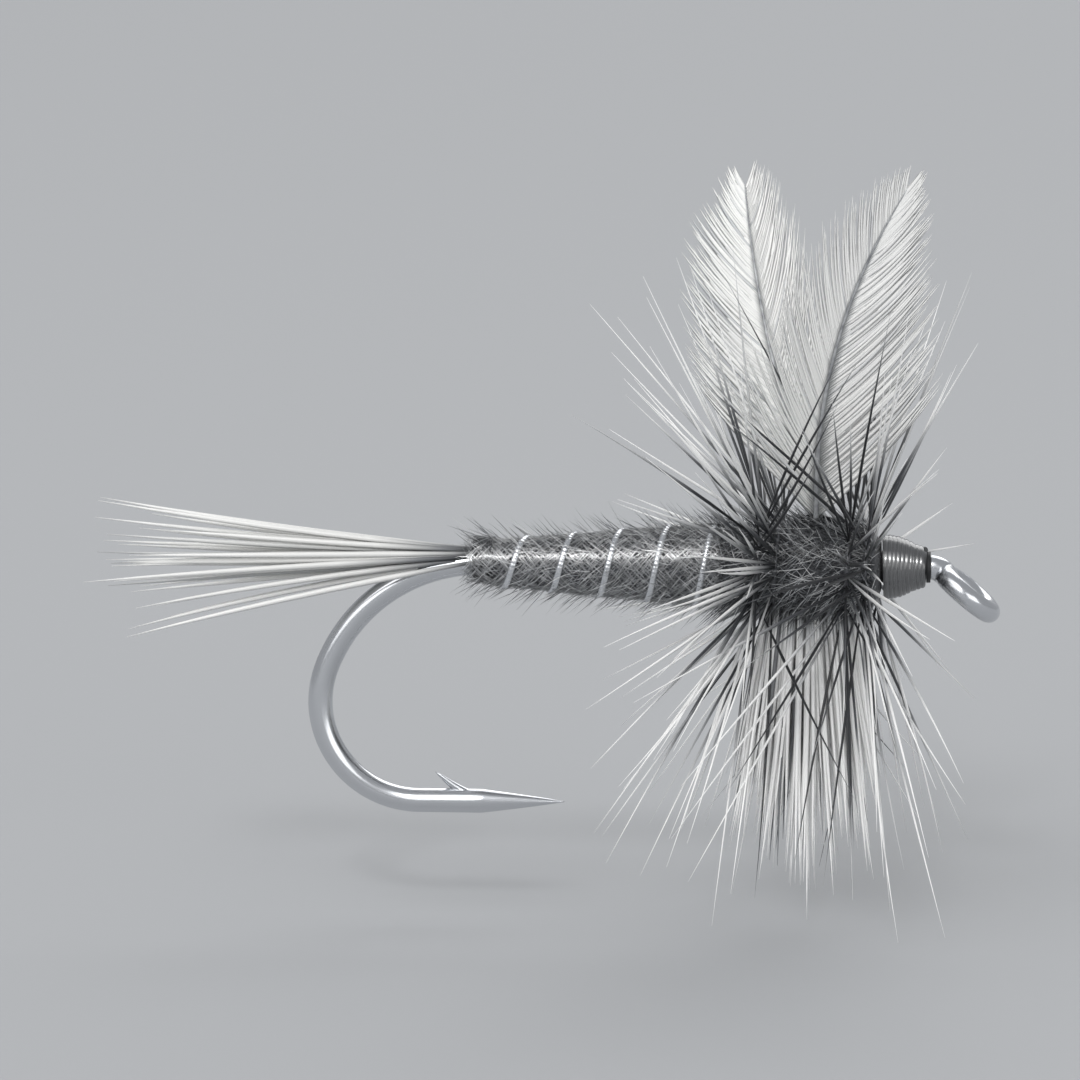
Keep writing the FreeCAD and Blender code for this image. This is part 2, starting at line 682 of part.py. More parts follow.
# ---------------------------------------------------------------- thorax
def thorax():
    """Dubbed thorax: waisted under each hackle, full between them, bored for the wing roots."""
    dubbing = turned_body("thorax_dubbing", [
        (THORAX_START, THORAX_BORE),
        (THORAX_END, THORAX_BORE),
        (THORAX_END, "sizes.abdomen_front_radius"),
        (REAR_HACKLE_END, "sizes.thorax_waist_radius"),
        (WING_ZONE_END, "sizes.thorax_waist_radius"),
        (WING_STATION, "sizes.thorax_bulge_radius"),
        (WING_ZONE_START, "sizes.thorax_waist_radius"),
        (THORAX_START, "sizes.thorax_waist_radius"),
    ])
    seat_on_shank(dubbing)
    holes = []
    for side, sign in (("right", ""), ("left", "-")):
        hole = doc.addObject("Part::Cylinder", f"{side}_wing_hole")
        hole.Placement.Rotation = FreeCAD.Rotation(Vector(1, 0, 0), 20)
        bind(hole, {
            "Radius": f"{POST_RADIUS} + {CLEARANCE}",
            "Height": "sizes.thorax_bulge_radius * 2",
            "Placement.Base.x": f"-{WING_STATION}",
            "Placement.Base.z": SHANK_HEIGHT,
            "Placement.Rotation.Angle": f"{sign}sizes.wing_spread",
        })
        holes.append(hole)
    drilled = doc.addObject("Part::MultiFuse", "wing_holes")
    drilled.Shapes = holes
    item = doc.addObject("Part::Cut", "thorax")
    item.Base = dubbing
    item.Tool = drilled
    return item


# ---------------------------------------------------------------- wings
QUILL_ELBOW_TURNS = (30, 60)  # where the elbow of a quill is cut into straight bends
QUILL_STEPS = 7
RIGHT_SWAY_POWER = 2.3  # the right quill stays straight low down, then curves forward
LEFT_SWAY_EARLY = 0.6  # the left quill leans back at once, and straightens this much
VANE_FADE = 0.9  # how much shorter the barbs are at the tip of a wing than at its root
VANE_OPENS = 0.3  # share of the quill below which the barbs open out towards its root
VANE_CLOSES = 0.5  # share of the quill from which the barbs close up towards its tip
VANE_SHOULDER = 0.8  # a barb keeps its width this far out, then comes to a point
VANE_FRAY = 0.06  # scatter of the barbs' lengths along an edge


class Wing:
    """A hackle-tip wing in its own blade plane, which holds the shank axis and leans outwards."""

    def __init__(self, side):
        self.side = side
        sign = -1 if side == "right" else 1
        spread = math.radians(number("sizes.wing_spread"))
        self.up = Vector(0, sign * math.sin(spread), math.cos(spread))
        self.normal = Vector(0, sign * math.cos(spread), -math.sin(spread))
        self.foot = Vector(-number(WING_STATION), 0, number(SHANK_HEIGHT))
        self.length = number(f"sizes.{side}_wing_length")
        self.root_height = number(POST_START)
        self.post_share = (number(POST_END) - self.root_height) / (self.length - self.root_height)
        self.width = number("sizes.wing_quill_width")
        self.tip_width = number("sizes.wing_quill_tip_width")

    def sway(self, share):
        """Forward offset of the quill, which starts to lean where it leaves its post wraps."""
        free = max(0.0, (share - self.post_share) / (1 - self.post_share))
        if self.side == "right":
            return number("sizes.right_wing_lean") * free**RIGHT_SWAY_POWER
        return -number("sizes.left_wing_lean") * free * (1 + LEFT_SWAY_EARLY * (1 - free))

    def point(self, share):
        """Centre of the quill at a share of the way from its elbow to its tip."""
        rise = self.root_height + (self.length - self.root_height) * share
        return self.foot + self.up * rise + Vector(self.sway(share), 0, 0)

    def heading(self, share):
        """Unit direction of the quill, towards its tip."""
        step = 0.01
        return (self.point(share + step) - self.point(share)).normalize()

    def quill_width(self, share):
        return self.width + (self.tip_width - self.width) * share

    def quill(self):
        """Quill with its trimmed butt along the shank, an elbow, and the curved stem."""
        forward = Vector(1, 0, 0)
        seat = number(DRESSING_BORE) + self.width / 2
        elbow = self.root_height - seat
        butt_end = self.foot - forward * elbow + self.up * seat
        butt_start = butt_end - forward * number("sizes.wing_butt_length")
        sections = []
        for centre in (butt_start, butt_end):
            sections.append(square(centre, self.normal, self.up, self.width))
        for turn in QUILL_ELBOW_TURNS:
            angle = math.radians(turn)
            outside = self.up * math.cos(angle) - forward * math.sin(angle)
            centre = butt_end + self.up * elbow - outside * elbow
            sections.append(square(centre, self.normal, outside, self.width))
        free = (1 - self.post_share) / QUILL_STEPS
        for share in [0] + [self.post_share + free * step for step in range(QUILL_STEPS)]:
            outside = self.normal.cross(self.heading(share)).normalize()
            if outside.dot(forward) > 0:
                outside = outside * -1
            width = self.quill_width(share)
            sections.append(square(self.point(share), self.normal, outside, width))
        solid = facet_solid(sections, self.point(1))
        return group(f"{self.side}_wing_quill", [solid])

    def vane(self, edge, sign, barb_angle, opening):
        """Barbs side by side along one edge of the quill; sign is +1 ahead of it and -1 behind."""
        spacing = number("sizes.wing_barb_spacing")
        slit = number("sizes.wing_barb_slit")
        thickness = number("sizes.wing_barb_thickness")
        barb_length = number(f"sizes.{self.side}_{edge}_vane_barb_length")
        tip_angle = min(number("sizes.tip_barb_angle"), barb_angle)
        cup = math.radians(number("sizes.wing_cup"))
        clear = number(CLEARANCE)
        first = (number("sizes.wing_bare_length") - self.root_height) / self.length
        last = 1 - number("sizes.wing_tip_bare") / self.length
        count = int(self.length * (last - first) / spacing)
        solids = []
        # on the side that the quill leans to, barbs turn less than the quill does, or they would cross
        leans_to = 1 if self.side == "right" else -1
        follow = number("sizes.inner_vane_follow") if sign == leans_to else 1
        for index in range(count):
            share = first + (last - first) * index / count
            heading = self.heading(share)
            lean = math.atan2(heading.x, heading.dot(self.up))
            closing = max(0.0, (share - VANE_CLOSES) / (last - VANE_CLOSES))
            opened = max(0.0, 1 - share / VANE_OPENS)
            angle = barb_angle + (tip_angle - barb_angle) * closing**2 + opening * opened
            angle = math.radians(angle)
            aside = Vector(sign * math.cos(cup), 0, 0) + self.normal * math.sin(cup)
            turned = sign * angle + follow * lean
            width = spacing * math.sin(abs(turned - lean)) - slit
            along = aside * (sign * math.sin(turned)) + self.up * math.cos(turned)
            over = aside * (sign * math.cos(turned)) - self.up * math.sin(turned)
            reach = barb_length * (1 - VANE_FADE * share**2) * (1 - VANE_FRAY * scatter(index, 0.1))
            flat = along.cross(over).normalize()
            gap = self.quill_width(share) / math.sqrt(2) + clear + thickness
            root = self.point(share) + aside * (gap + width / 2)
            half = width / 2
            outline = [
                root - over * half,
                root + over * half,
                root + along * (VANE_SHOULDER * reach) + over * half,
                root + along * reach,
                root + along * (VANE_SHOULDER * reach) - over * half,
            ]
            lift = flat * thickness
            solids.append(facet_solid([outline, [corner + lift for corner in outline]]))
        return group(f"{self.side}_wing_{edge}_vane", solids)

    def pieces(self):
        broad = (number("sizes.broad_vane_barb_angle"), 0)
        narrow = (
            number("sizes.narrow_vane_barb_angle"),
            number("sizes.narrow_vane_foot_opening"),
        )
        ahead, behind = (broad, narrow) if self.side == "right" else (narrow, broad)
        return [
            self.quill(),
            self.vane("front", 1, *ahead),
            self.vane("rear", -1, *behind),
        ]


def post_wraps(side, sign):
    """Thread that stands round the root of one wing quill, up through the thorax."""
    item = turned_body(f"{side}_wing_post_wraps", [
        (POST_BORE, POST_START),
        (POST_RADIUS, POST_START),
        (POST_RADIUS, POST_END),
        (POST_BORE, POST_END),
    ], "V_Axis")
    item.Placement.Rotation = FreeCAD.Rotation(Vector(1, 0, 0), 20)
    bind(item, {
        "Placement.Base.x": f"-{WING_STATION}",
        "Placement.Base.z": SHANK_HEIGHT,
        "Placement.Rotation.Angle": f"{sign}sizes.wing_spread",
    })
    return item


def crossing_wraps():
    """The two strands of the figure of eight that pass between the wings, one over the other."""
    width = number("sizes.crossing_thread_width")
    length = number("sizes.crossing_thread_length")
    clear = number(CLEARANCE)
    seat = number("sizes.thorax_bulge_radius") + clear
    centre = Vector(-number(WING_STATION), 0, number(SHANK_HEIGHT))
    solids = []
    for layer, sign in enumerate((1, -1)):
        strand = Part.makeBox(length, width, width, Vector(-length / 2, -width / 2, 0))
        angle = sign * number("sizes.crossing_thread_angle")
        strand.rotate(Vector(0, 0, 0), Vector(0, 0, 1), angle)
        strand.translate(centre + Vector(0, 0, seat + layer * (width + clear)))
        solids.append(strand)
    return group("figure_eight_wraps", solids)


# ---------------------------------------------------------------- hackle and throat
def hackle_start(which):
    """Station where a hackle's winding begins; it then runs forward."""
    end = REAR_HACKLE_END if which == "rear" else WING_ZONE_START
    return f"({end} - sizes.hackle_stem_width / 2)"


def hackle_stem(which):
    """Flattened feather stem wound in open turns round the thorax's waist, in short straight bends."""
    start = number(hackle_start(which))
    pitch = number("sizes.hackle_pitch")
    width = number("sizes.hackle_stem_width")
    height = number(SHANK_HEIGHT)
    radius = number(HACKLE_SEAT)
    forward = Vector(1, 0, 0)
    sections = []
    for step in range(int(number("sizes.hackle_turns")) * STEM_BENDS + 1):
        share = step / STEM_BENDS
        radial = outward(360 * share)
        centre = Vector(-start + pitch * share, 0, height) + radial * radius
        sections.append(square(centre, forward, radial, width))
    return group(f"{which}_hackle_stem", [facet_solid(sections)])


HACKLE_UNEVEN = 0.1  # how much longer the barbs are below the shank, and shorter above it
STRAIGHT_UP = 180  # degrees, from straight down
STRAY_EVERY = 4  # one in so many barbs of the front hackle leans far back
STRAY_ROOM = 60  # strays stand no further than this from straight up or down, clear of the sides


def hackle_barbs():
    """Barbs of both hackles, shared out to one angle each, so that none crosses another."""
    slot = number("sizes.hackle_slot_angle")
    wing = number("sizes.wing_spread")
    wing_gap = number("sizes.hackle_wing_gap")
    throat = number("sizes.throat_half_angle") + slot
    turns = int(number("sizes.hackle_turns"))
    pitch = number("sizes.hackle_pitch")
    height = number(SHANK_HEIGHT)
    radius = number(ROOT_RADIUS)
    root_width, belly = number("sizes.hackle_root_width"), number("sizes.hackle_barb_width")
    length = number("sizes.hackle_barb_length")
    scatter_angle = number("sizes.hackle_lean_scatter")
    stray_lean = number("sizes.stray_barb_lean")
    leans = {
        "rear": -number("sizes.rear_hackle_lean"),
        "front": number("sizes.front_hackle_lean"),
    }
    solids = {"rear": [], "front": []}
    for index in range(int(360 / slot)):
        angle = index * slot
        from_top = abs(angle - STRAIGHT_UP)
        if abs(from_top - wing) < wing_gap or from_top > STRAIGHT_UP - throat:
            continue
        which = "rear" if index % 2 else "front"
        start = number(hackle_start(which))
        station = start - pitch * (angle / 360 + index // 2 % turns)
        lean = leans[which] + scatter_angle * (2 * scatter(index) - 1)
        upright = min(from_top, STRAIGHT_UP - from_top) < STRAY_ROOM
        if which == "front" and index // 2 % STRAY_EVERY == 0 and upright:
            lean = -stray_lean * (1 - scatter(index) / 2)
        tilt = math.radians(lean)
        radial = outward(angle)
        direction = radial * math.cos(tilt) + Vector(math.sin(tilt), 0, 0)
        side = radial.cross(Vector(1, 0, 0)).normalize()
        # the fibres below the shank are the longer ones
        longest = length * (1 - HACKLE_UNEVEN * math.cos(math.radians(from_top)))
        reach = scattered_length(longest, index, 0.4)
        root = Vector(-station, 0, height) + radial * (radius + root_width)
        solids[which].append(straight_fibre(root, direction, side, reach, root_width, belly))
    return [group(f"{which}_hackle_barbs", solids[which]) for which in ("rear", "front")]


def throat_fibres():
    """Dense bunch under the wings: columns round the shank, rows fanned along it."""
    columns = int(number("sizes.throat_columns"))
    rows = int(number("sizes.throat_rows"))
    half_angle = number("sizes.throat_half_angle")
    zone = number("sizes.throat_root_length")
    middle = number(WING_STATION)
    fan = number("sizes.throat_lean")
    length = number("sizes.throat_fibre_length")
    root_width = number("sizes.hackle_root_width")
    radius = number("sizes.thorax_bulge_radius") + number(CLEARANCE) + root_width
    height = number(SHANK_HEIGHT)
    belly = number("sizes.throat_fibre_width")
    solids = []
    for column in range(columns):
        angle = half_angle * (2 * column / (columns - 1) - 1)
        radial = outward(angle)
        side = radial.cross(Vector(1, 0, 0)).normalize()
        for row in range(rows):
            share = (row + 0.5) / rows - 0.5
            tilt = math.radians(2 * fan * share)
            root = Vector(-middle + zone * share, 0, height) + radial * radius
            direction = radial * math.cos(tilt) + Vector(math.sin(tilt), 0, 0)
            reach = scattered_length(length, column * rows + row, 0.7)
            solids.append(straight_fibre(root, direction, side, reach, root_width, belly))
    return group("throat_fibres", solids)


# ---------------------------------------------------------------- assembly
def all_pieces():
    """Every sub-part, in tying order."""
    pieces = [hook(), thread_underbody()]
    for side, sign in (("right", ""), ("left", "-")):
        pieces += Wing(side).pieces()
        pieces.append(post_wraps(side, sign))
    pieces.append(crossing_wraps())
    post_gap = f"({POST_RADIUS} + {CLEARANCE})"
    pieces.append(lashing(
        "front_lashing", f"({THORAX_START} + {CLEARANCE})", f"({WING_STATION} - {post_gap})"
    ))
    pieces.append(lashing(
        "rear_lashing", f"({WING_STATION} + {post_gap} + sizes.wing_quill_elbow)", THORAX_END
    ))
    pieces += tail()
    pieces += abdomen_pieces()
    pieces.append(guard_hairs())
    pieces.append(thorax())
    pieces += [hackle_stem("rear"), hackle_stem("front")]
    pieces += hackle_barbs()
    pieces.append(throat_fibres())
    pieces += head_pieces()
    return pieces


PIECES = all_pieces()
doc.recompute()

problems = []
for item in doc.Objects:
    if "Invalid" in item.State or "Error" in item.State:
        problems.append(f"{item.Label}: {item.State}")
for piece in PIECES:
    if piece.Shape.isNull() or not piece.Shape.isValid() or not piece.Shape.Solids:
        problems.append(f"{piece.Label}: no valid solid")
if problems:
    raise RuntimeError("; ".join(problems))

for piece in PIECES:
    piece.Shape.exportStep(f"parts/{piece.Label}.step")
    print(f"{piece.Label}: {len(piece.Shape.Solids)} solids, {piece.Shape.Volume:.3f} mm3")
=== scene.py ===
# %% [markdown]
# # A winged dry fly, dressed in Blender
#
# A dry fly is a hook dressed with feather, fur, tinsel and thread, and it floats because hundreds of stiff
# feather fibres hold it up. The CAD frame already fixes every size and place. This lesson gives each piece
# its real surface: a smooth round wire, feathers grown barb by barb, fur that stands out of the body, and
# thread wound turn by turn.
#
# Everything is in metres and in the frame's own axes: +X runs forward to the hook's eye, +Z up to the wing
# tips, and the origin is the centre of the eye.

# %% Load the frame
import bpy
import bmesh
import math
from types import SimpleNamespace
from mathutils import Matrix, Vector


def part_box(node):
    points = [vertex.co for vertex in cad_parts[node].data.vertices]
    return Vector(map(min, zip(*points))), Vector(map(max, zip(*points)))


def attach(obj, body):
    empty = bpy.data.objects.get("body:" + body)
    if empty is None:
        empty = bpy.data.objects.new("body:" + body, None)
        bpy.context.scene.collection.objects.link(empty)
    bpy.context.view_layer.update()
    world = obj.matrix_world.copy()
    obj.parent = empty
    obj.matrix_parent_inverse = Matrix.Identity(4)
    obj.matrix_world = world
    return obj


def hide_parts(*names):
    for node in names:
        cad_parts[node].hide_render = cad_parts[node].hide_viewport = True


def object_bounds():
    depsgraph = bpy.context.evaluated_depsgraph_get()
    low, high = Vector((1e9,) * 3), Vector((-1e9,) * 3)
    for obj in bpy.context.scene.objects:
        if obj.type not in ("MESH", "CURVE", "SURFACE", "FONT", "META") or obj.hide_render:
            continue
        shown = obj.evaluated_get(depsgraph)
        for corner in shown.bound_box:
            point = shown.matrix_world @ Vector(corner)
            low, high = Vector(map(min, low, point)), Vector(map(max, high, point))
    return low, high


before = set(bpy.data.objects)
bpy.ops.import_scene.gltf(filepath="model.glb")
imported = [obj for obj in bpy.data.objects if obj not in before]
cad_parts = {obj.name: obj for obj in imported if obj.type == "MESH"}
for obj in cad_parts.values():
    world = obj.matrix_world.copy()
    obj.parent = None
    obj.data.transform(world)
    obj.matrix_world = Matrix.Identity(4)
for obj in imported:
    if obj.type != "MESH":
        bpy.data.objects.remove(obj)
cad_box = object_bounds()
MM = 0.001


def in_mm(sides, digits):
    """Lengths turned to millimetres and rounded, for printing."""
    return [round(side / MM, digits) for side in sides]


print("frame:", len(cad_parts), "nodes,", in_mm(cad_box[1] - cad_box[0], 1), "mm")

# %% [markdown]
# ## Places, read from the frame
#
# A fly is tied along the shank of its hook, so almost every place is a distance along X and a radius round
# the shank. Reading them from the frame's boxes, and not typing them again, keeps this file in step with the
# CAD model when a size there changes.

# %% The shank and the dressing along it
thread_low, thread_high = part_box("thread_underbody")
SHANK_Z = (thread_low.z + thread_high.z) / 2
THREAD_RADIUS = (thread_high.z - thread_low.z) / 2
hook_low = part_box("hook")[0]
abdomen_low, abdomen_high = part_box("abdomen")
thorax_low, thorax_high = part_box("thorax")
print("shank axis is", round(SHANK_Z / MM, 3), "mm above the eye")

# %% [markdown]
# ## Small tools
#
# One function turns a hex colour to linear light, one adds a node, and one builds the shell of a geometry
# tree with named inputs. `keep_result` runs such a tree once and keeps what it made as a plain mesh, because
# the finished fly has to carry no live modifiers.

# %% Colour and node helpers
def linear(hex_colour):
    """Linear RGBA of an sRGB hex colour."""
    parts = [int(hex_colour[i:i + 2], 16) / 255 for i in (1, 3, 5)]
    return tuple(p / 12.92 if p <= 0.04045 else ((p + 0.055) / 1.055) ** 2.4 for p in parts) + (1.0,)


def add_node(tree, kind, inputs=None, out=0, **settings):
    """Adds a node with its settings, fills or links its inputs, and returns one of its outputs."""
    node = tree.nodes.new(kind)
    for name, value in settings.items():
        setattr(node, name, value)
    for key, value in (inputs or {}).items():
        if isinstance(key, int):
            socket = node.inputs[key]
        else:
            socket = next(s for s in node.inputs if s.name == key and s.enabled)
        if isinstance(value, bpy.types.NodeSocket):
            tree.links.new(value, socket)
        else:
            socket.default_value = value
    shown = [socket for socket in node.outputs if socket.enabled]
    return shown[out] if shown else node


MATH, VECTOR_MATH = "ShaderNodeMath", "ShaderNodeVectorMath"

# %% Geometry tree helpers
def geometry_tree(name, inputs):
    """A geometry node tree with named inputs; each is (socket kind, value)."""
    tree = bpy.data.node_groups.new(name, "GeometryNodeTree")
    tree.interface.new_socket("Geometry", in_out="INPUT", socket_type="NodeSocketGeometry")
    for label, (kind, value) in inputs.items():
        socket = tree.interface.new_socket(label, in_out="INPUT", socket_type=f"NodeSocket{kind}")
        if value is not None:
            socket.default_value = value
    tree.interface.new_socket("Geometry", in_out="OUTPUT", socket_type="NodeSocketGeometry")
    return tree, tree.nodes.new("NodeGroupInput").outputs


def end_tree(tree, geometry, material):
    """Ends a tree as every tree here ends: instances made real, a material set, smooth faces."""
    real = add_node(tree, "GeometryNodeRealizeInstances", {"Geometry": geometry})
    smooth = add_node(tree, "GeometryNodeSetShadeSmooth", {"Geometry": real})
    painted = add_node(tree, "GeometryNodeSetMaterial", {"Geometry": smooth, "Material": material})
    add_node(tree, "NodeGroupOutput", {"Geometry": painted})
    print("tree:", tree.name, "with", len(tree.nodes), "nodes")
    return tree


def new_object(name, mesh):
    """A mesh object at the origin of the scene."""
    piece = bpy.data.objects.new(name, mesh)
    bpy.context.scene.collection.objects.link(piece)
    return piece


def keep_result(name, start, tree, inputs):
    """Runs a tree on a starting mesh, and returns what it makes as a plain mesh object."""
    piece = new_object(name, start)
    modifier = piece.modifiers.new("Tree", "NODES")
    modifier.node_group = tree
    sockets = {item.name: item.identifier for item in tree.interface.items_tree if item.in_out == "INPUT"}
    for label, value in inputs.items():
        modifier[sockets[label]] = value
    bpy.context.view_layer.update()
    evaluated = piece.evaluated_get(bpy.context.evaluated_depsgraph_get())
    mesh = bpy.data.meshes.new_from_object(evaluated)
    piece.modifiers.clear()
    piece.data = mesh
    mesh.name = name
    return piece


def finish_piece(piece, slot, *nodes):
    """Puts a finished piece on the fly, in place of the CAD nodes named."""
    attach(piece, "root")
    if nodes:
        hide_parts(*nodes)
    print(f"{piece.name}: {len(piece.data.polygons)} faces, {in_mm(piece.dimensions, 2)} mm")


def solid_piece(name, mesh, material, slot, node):
    """Makes a finished piece of a mesh and one material, in place of a CAD node."""
    piece = new_object(name, mesh)
    mesh.materials.append(material)
    finish_piece(piece, slot, node)
    return piece


# %% [markdown]
# ## Meshes made by rule
#
# Two rules make most of the solid pieces. A *sweep* carries a section along a path, as a die draws wire: it
# gives the hook, the quills and the rib. A *turning* spins a radius round the shank, as a lathe does, but its
# radius may change with the angle too, so it also gives a lumpy fur body.
#
# A swept mesh gets a UV map, so that a finish can follow the wire: U goes from 0 to 1 round the section, and
# V runs along the path in millimetres.

# %% Close a tube of rings
def close_tube(name, mesh, rings):
    """Caps both ends of a tube, turns its faces outwards and returns the finished mesh."""
    mesh.faces.new(reversed(rings[0]))
    mesh.faces.new(rings[-1])
    bmesh.ops.recalc_face_normals(mesh, faces=mesh.faces)
    data = bpy.data.meshes.new(name)
    mesh.to_mesh(data)
    mesh.free()
    return data


# %% Sweep a section along a path
def sweep(name, path, widths, sides, heights=None, outs=None):
    """Closed tube along a path of points. Heights and outs make its section flat and steer it."""
    heights = heights or widths
    count = len(path)
    mesh = bmesh.new()
    uv = mesh.loops.layers.uv.new("UVMap")
    rings, lengths, out = [], [0.0], None
    for index, point in enumerate(path):
        tangent = (path[min(index + 1, count - 1)] - path[max(index - 1, 0)]).normalized()
        if outs:
            out = outs[index]
        elif out is None:
            out = tangent.orthogonal()
        out = (out - tangent * out.dot(tangent)).normalized()
        side = tangent.cross(out)
        ring = []
        for step in range(sides):
            turn = math.tau * step / sides
            across = side * (math.cos(turn) * widths[index] / 2)
            ring.append(mesh.verts.new(point + across + out * (math.sin(turn) * heights[index] / 2)))
        rings.append(ring)
        if index:
            lengths.append(lengths[-1] + (point - path[index - 1]).length / MM)
    for index in range(count - 1):
        for step in range(sides):
            after = (step + 1) % sides
            corners = (
                (rings[index][step], step, index),
                (rings[index][after], step + 1, index),
                (rings[index + 1][after], step + 1, index + 1),
                (rings[index + 1][step], step, index + 1),
            )
            face = mesh.faces.new([corner[0] for corner in corners])
            face.smooth = True
            for loop, (_, around, along) in zip(face.loops, corners):
                loop[uv].uv = (around / sides, lengths[along])
    return close_tube(name, mesh, rings)


# %% Turn a radius round the shank
def turning(name, stations, radius_at, sides):
    """Closed solid round the shank axis; radius_at gives a radius for a place along X and an angle."""
    mesh = bmesh.new()
    rings = []
    for station in stations:
        ring = []
        for step in range(sides):
            angle = math.tau * step / sides
            radius = radius_at(station, angle)
            across, above = radius * math.sin(angle), radius * math.cos(angle)
            ring.append(mesh.verts.new((station, across, SHANK_Z + above)))
        rings.append(ring)
    for near, far in zip(rings, rings[1:]):
        for step in range(sides):
            after = (step + 1) % sides
            mesh.faces.new((near[step], near[after], far[after], far[step])).smooth = True
    return close_tube(name, mesh, rings)


def steps(start, end, count):
    """Evenly spaced numbers from start to end."""
    return [start + (end - start) * index / (count - 1) for index in range(count)]


# %% [markdown]
# ## Materials
#
# Each one starts from what the real thing is. Feather and fur are dull to satin and take their tone from
# fibre to fibre, so they read three values that the fibre tree stores: `along` (0 at the root, 1 at the tip),
# `across` (-1 to 1 over the width) and `tone` (one random value per fibre). Metal takes its look from what
# it mirrors, so it has little colour and a fine bump.

# %% Material helpers
# outputs by their number: object coordinates, and an attribute as a single value
OBJECT, SINGLE_VALUE = 3, 2
ATTRIBUTE = "ShaderNodeAttribute"


def new_material(name, roughness, colour=None, **sockets):
    """A principled material; returns it with its tree and shader node."""
    material = bpy.data.materials.new(name)
    material.use_nodes = True
    shader = material.node_tree.nodes["Principled BSDF"]
    shader.inputs["Roughness"].default_value = roughness
    if colour:
        shader.inputs["Base Color"].default_value = linear(colour)
        material.diffuse_color = linear(colour)
    for label, value in sockets.items():
        shader.inputs[label.replace("_", " ")].default_value = value
    return material, material.node_tree, shader


def set_stops(ramp, stops):
    """Sets the stops of a colour ramp, given as {place: hex colour}."""
    elements = ramp.node.color_ramp.elements
    places = sorted(stops)
    while len(elements) < len(places):
        elements.new(0.5)
    for element, place in zip(elements, places):
        element.position = place
        element.color = linear(stops[place])


# %% [markdown]
# **Hackle barbs** are the stiff, glossy fibres of a cock's neck feather. These are the silver badger kind:
# dark at the stem and nearly white towards the tip. That gives dark roots round the body and bright tips
# against the light. The barbs that stand across the wings and the throat are dark for most of their length,
# because their tone can lie outside the usual 0 to 1.

# %% Feather materials
# the digits of a tone after the first ones are as good as a second random value
TONE_SPLIT = 37.0


def barb_material(name, stops, shift, roughness, odd_share, odd):
    """Glossy fibre whose colour runs along it, sooner or later from barb to barb; a few are darker."""
    material, tree, shader = new_material(name, roughness, Coat_Weight=0.15, Coat_Roughness=0.3)
    along = add_node(tree, ATTRIBUTE, out=SINGLE_VALUE, attribute_name="along")
    tone = add_node(tree, ATTRIBUTE, out=SINGLE_VALUE, attribute_name="tone")
    later = add_node(tree, "ShaderNodeMapRange", {
        "Value": tone, "To Min": -shift, "To Max": shift,
    }, clamp=False)
    place = add_node(tree, MATH, {0: along, 1: later}, operation="ADD")
    ramp = add_node(tree, "ShaderNodeValToRGB", {"Fac": place})
    set_stops(ramp, stops)
    # the tones are spent on the shift, so a second random value picks the darker ones
    pick = add_node(tree, MATH, {0: tone, 1: TONE_SPLIT}, operation="MULTIPLY")
    pick = add_node(tree, MATH, {0: pick}, operation="FRACT")
    shade = add_node(tree, "ShaderNodeValToRGB", {"Fac": pick})
    set_stops(shade, {odd_share: odd, odd_share + 0.08: "#FFFFFF"})
    colour = add_node(tree, "ShaderNodeMix", {"Factor": 1.0, "A": ramp, "B": shade},
                      data_type="RGBA", blend_type="MULTIPLY")
    tree.links.new(colour, shader.inputs["Base Color"])
    return material


BADGER_HACKLE = barb_material("badger hackle barbs, glossy keratin", {
    0.0: "#2A2B2E", 0.2: "#4A4C50", 0.4: "#BFC0C1", 0.55: "#F1F1F0", 1.0: "#FAFAF9",
}, 0.27, 0.38, 0.03, "#C4C5C7")
THROAT_HACKLE = barb_material("pale throat barbs, glossy keratin", {
    0.0: "#55575A", 0.08: "#A9ABAD", 0.2: "#ECECEB", 1.0: "#FAFAF9",
}, 0.06, 0.42, 0.12, "#6E7074")
TAIL_HACKLE = barb_material("spade hackle tail fibres, glossy keratin", {
    0.0: "#3A3C3F", 0.1: "#6E7073", 0.3: "#D6D6D4", 1.0: "#E6E6E4",
}, 0.1, 0.36, 0.03, "#BFC1C3")

# %% [markdown]
# ** The wing web** is softer and duller than a hackle barb, because every barb carries rows of fine barbules
# that hook on to the next one. They scatter light, so the web is a matt off-white. Both edges of each barb
# are painted a little darker, as painted shade in the gaps between barbs, and that is what makes the lines
# of a feather readable.

# %% Wing materials
def web_material():
    """Matt barb of a wing: one tone per barb, painted shade towards its edges, and grey at its root."""
    material, tree, shader = new_material("wing feather web, matt keratin", 0.62, Sheen_Weight=0.15)
    along = add_node(tree, ATTRIBUTE, out=SINGLE_VALUE, attribute_name="along")
    across = add_node(tree, ATTRIBUTE, out=SINGLE_VALUE, attribute_name="across")
    tone = add_node(tree, ATTRIBUTE, out=SINGLE_VALUE, attribute_name="tone")
    edge = add_node(tree, MATH, {0: across}, operation="ABSOLUTE")
    # painted shade: each barb is darker towards both its edges, as if from the gaps between barbs
    line = add_node(tree, "ShaderNodeValToRGB", {"Fac": edge})
    set_stops(line, {0.55: "#FFFFFF", 0.95: "#5F6266"})
    # painted shade in the gaps where the barbs part, from the middle of each barb outwards
    gap_shade_share = add_node(tree, "ShaderNodeMapRange", {
        "Value": along, "From Min": 0.35, "From Max": 0.85, "To Min": 0.12,
    })
    colour = add_node(tree, "ShaderNodeValToRGB", {"Fac": tone})
    set_stops(colour, {0.0: "#C0C2C4", 0.12: "#E3E3E2", 0.5: "#EAEAE8", 1.0: "#EEEEEC"})
    root = add_node(tree, "ShaderNodeValToRGB", {"Fac": along})
    set_stops(root, {0.0: "#B9BBBD", 0.1: "#FFFFFF"})
    for much, layer in ((gap_shade_share, line), (1.0, root)):
        colour = add_node(tree, "ShaderNodeMix", {"Factor": much, "A": colour, "B": layer},
                          data_type="RGBA", blend_type="MULTIPLY")
    tree.links.new(colour, shader.inputs["Base Color"])
    return material


WING_WEB = web_material()


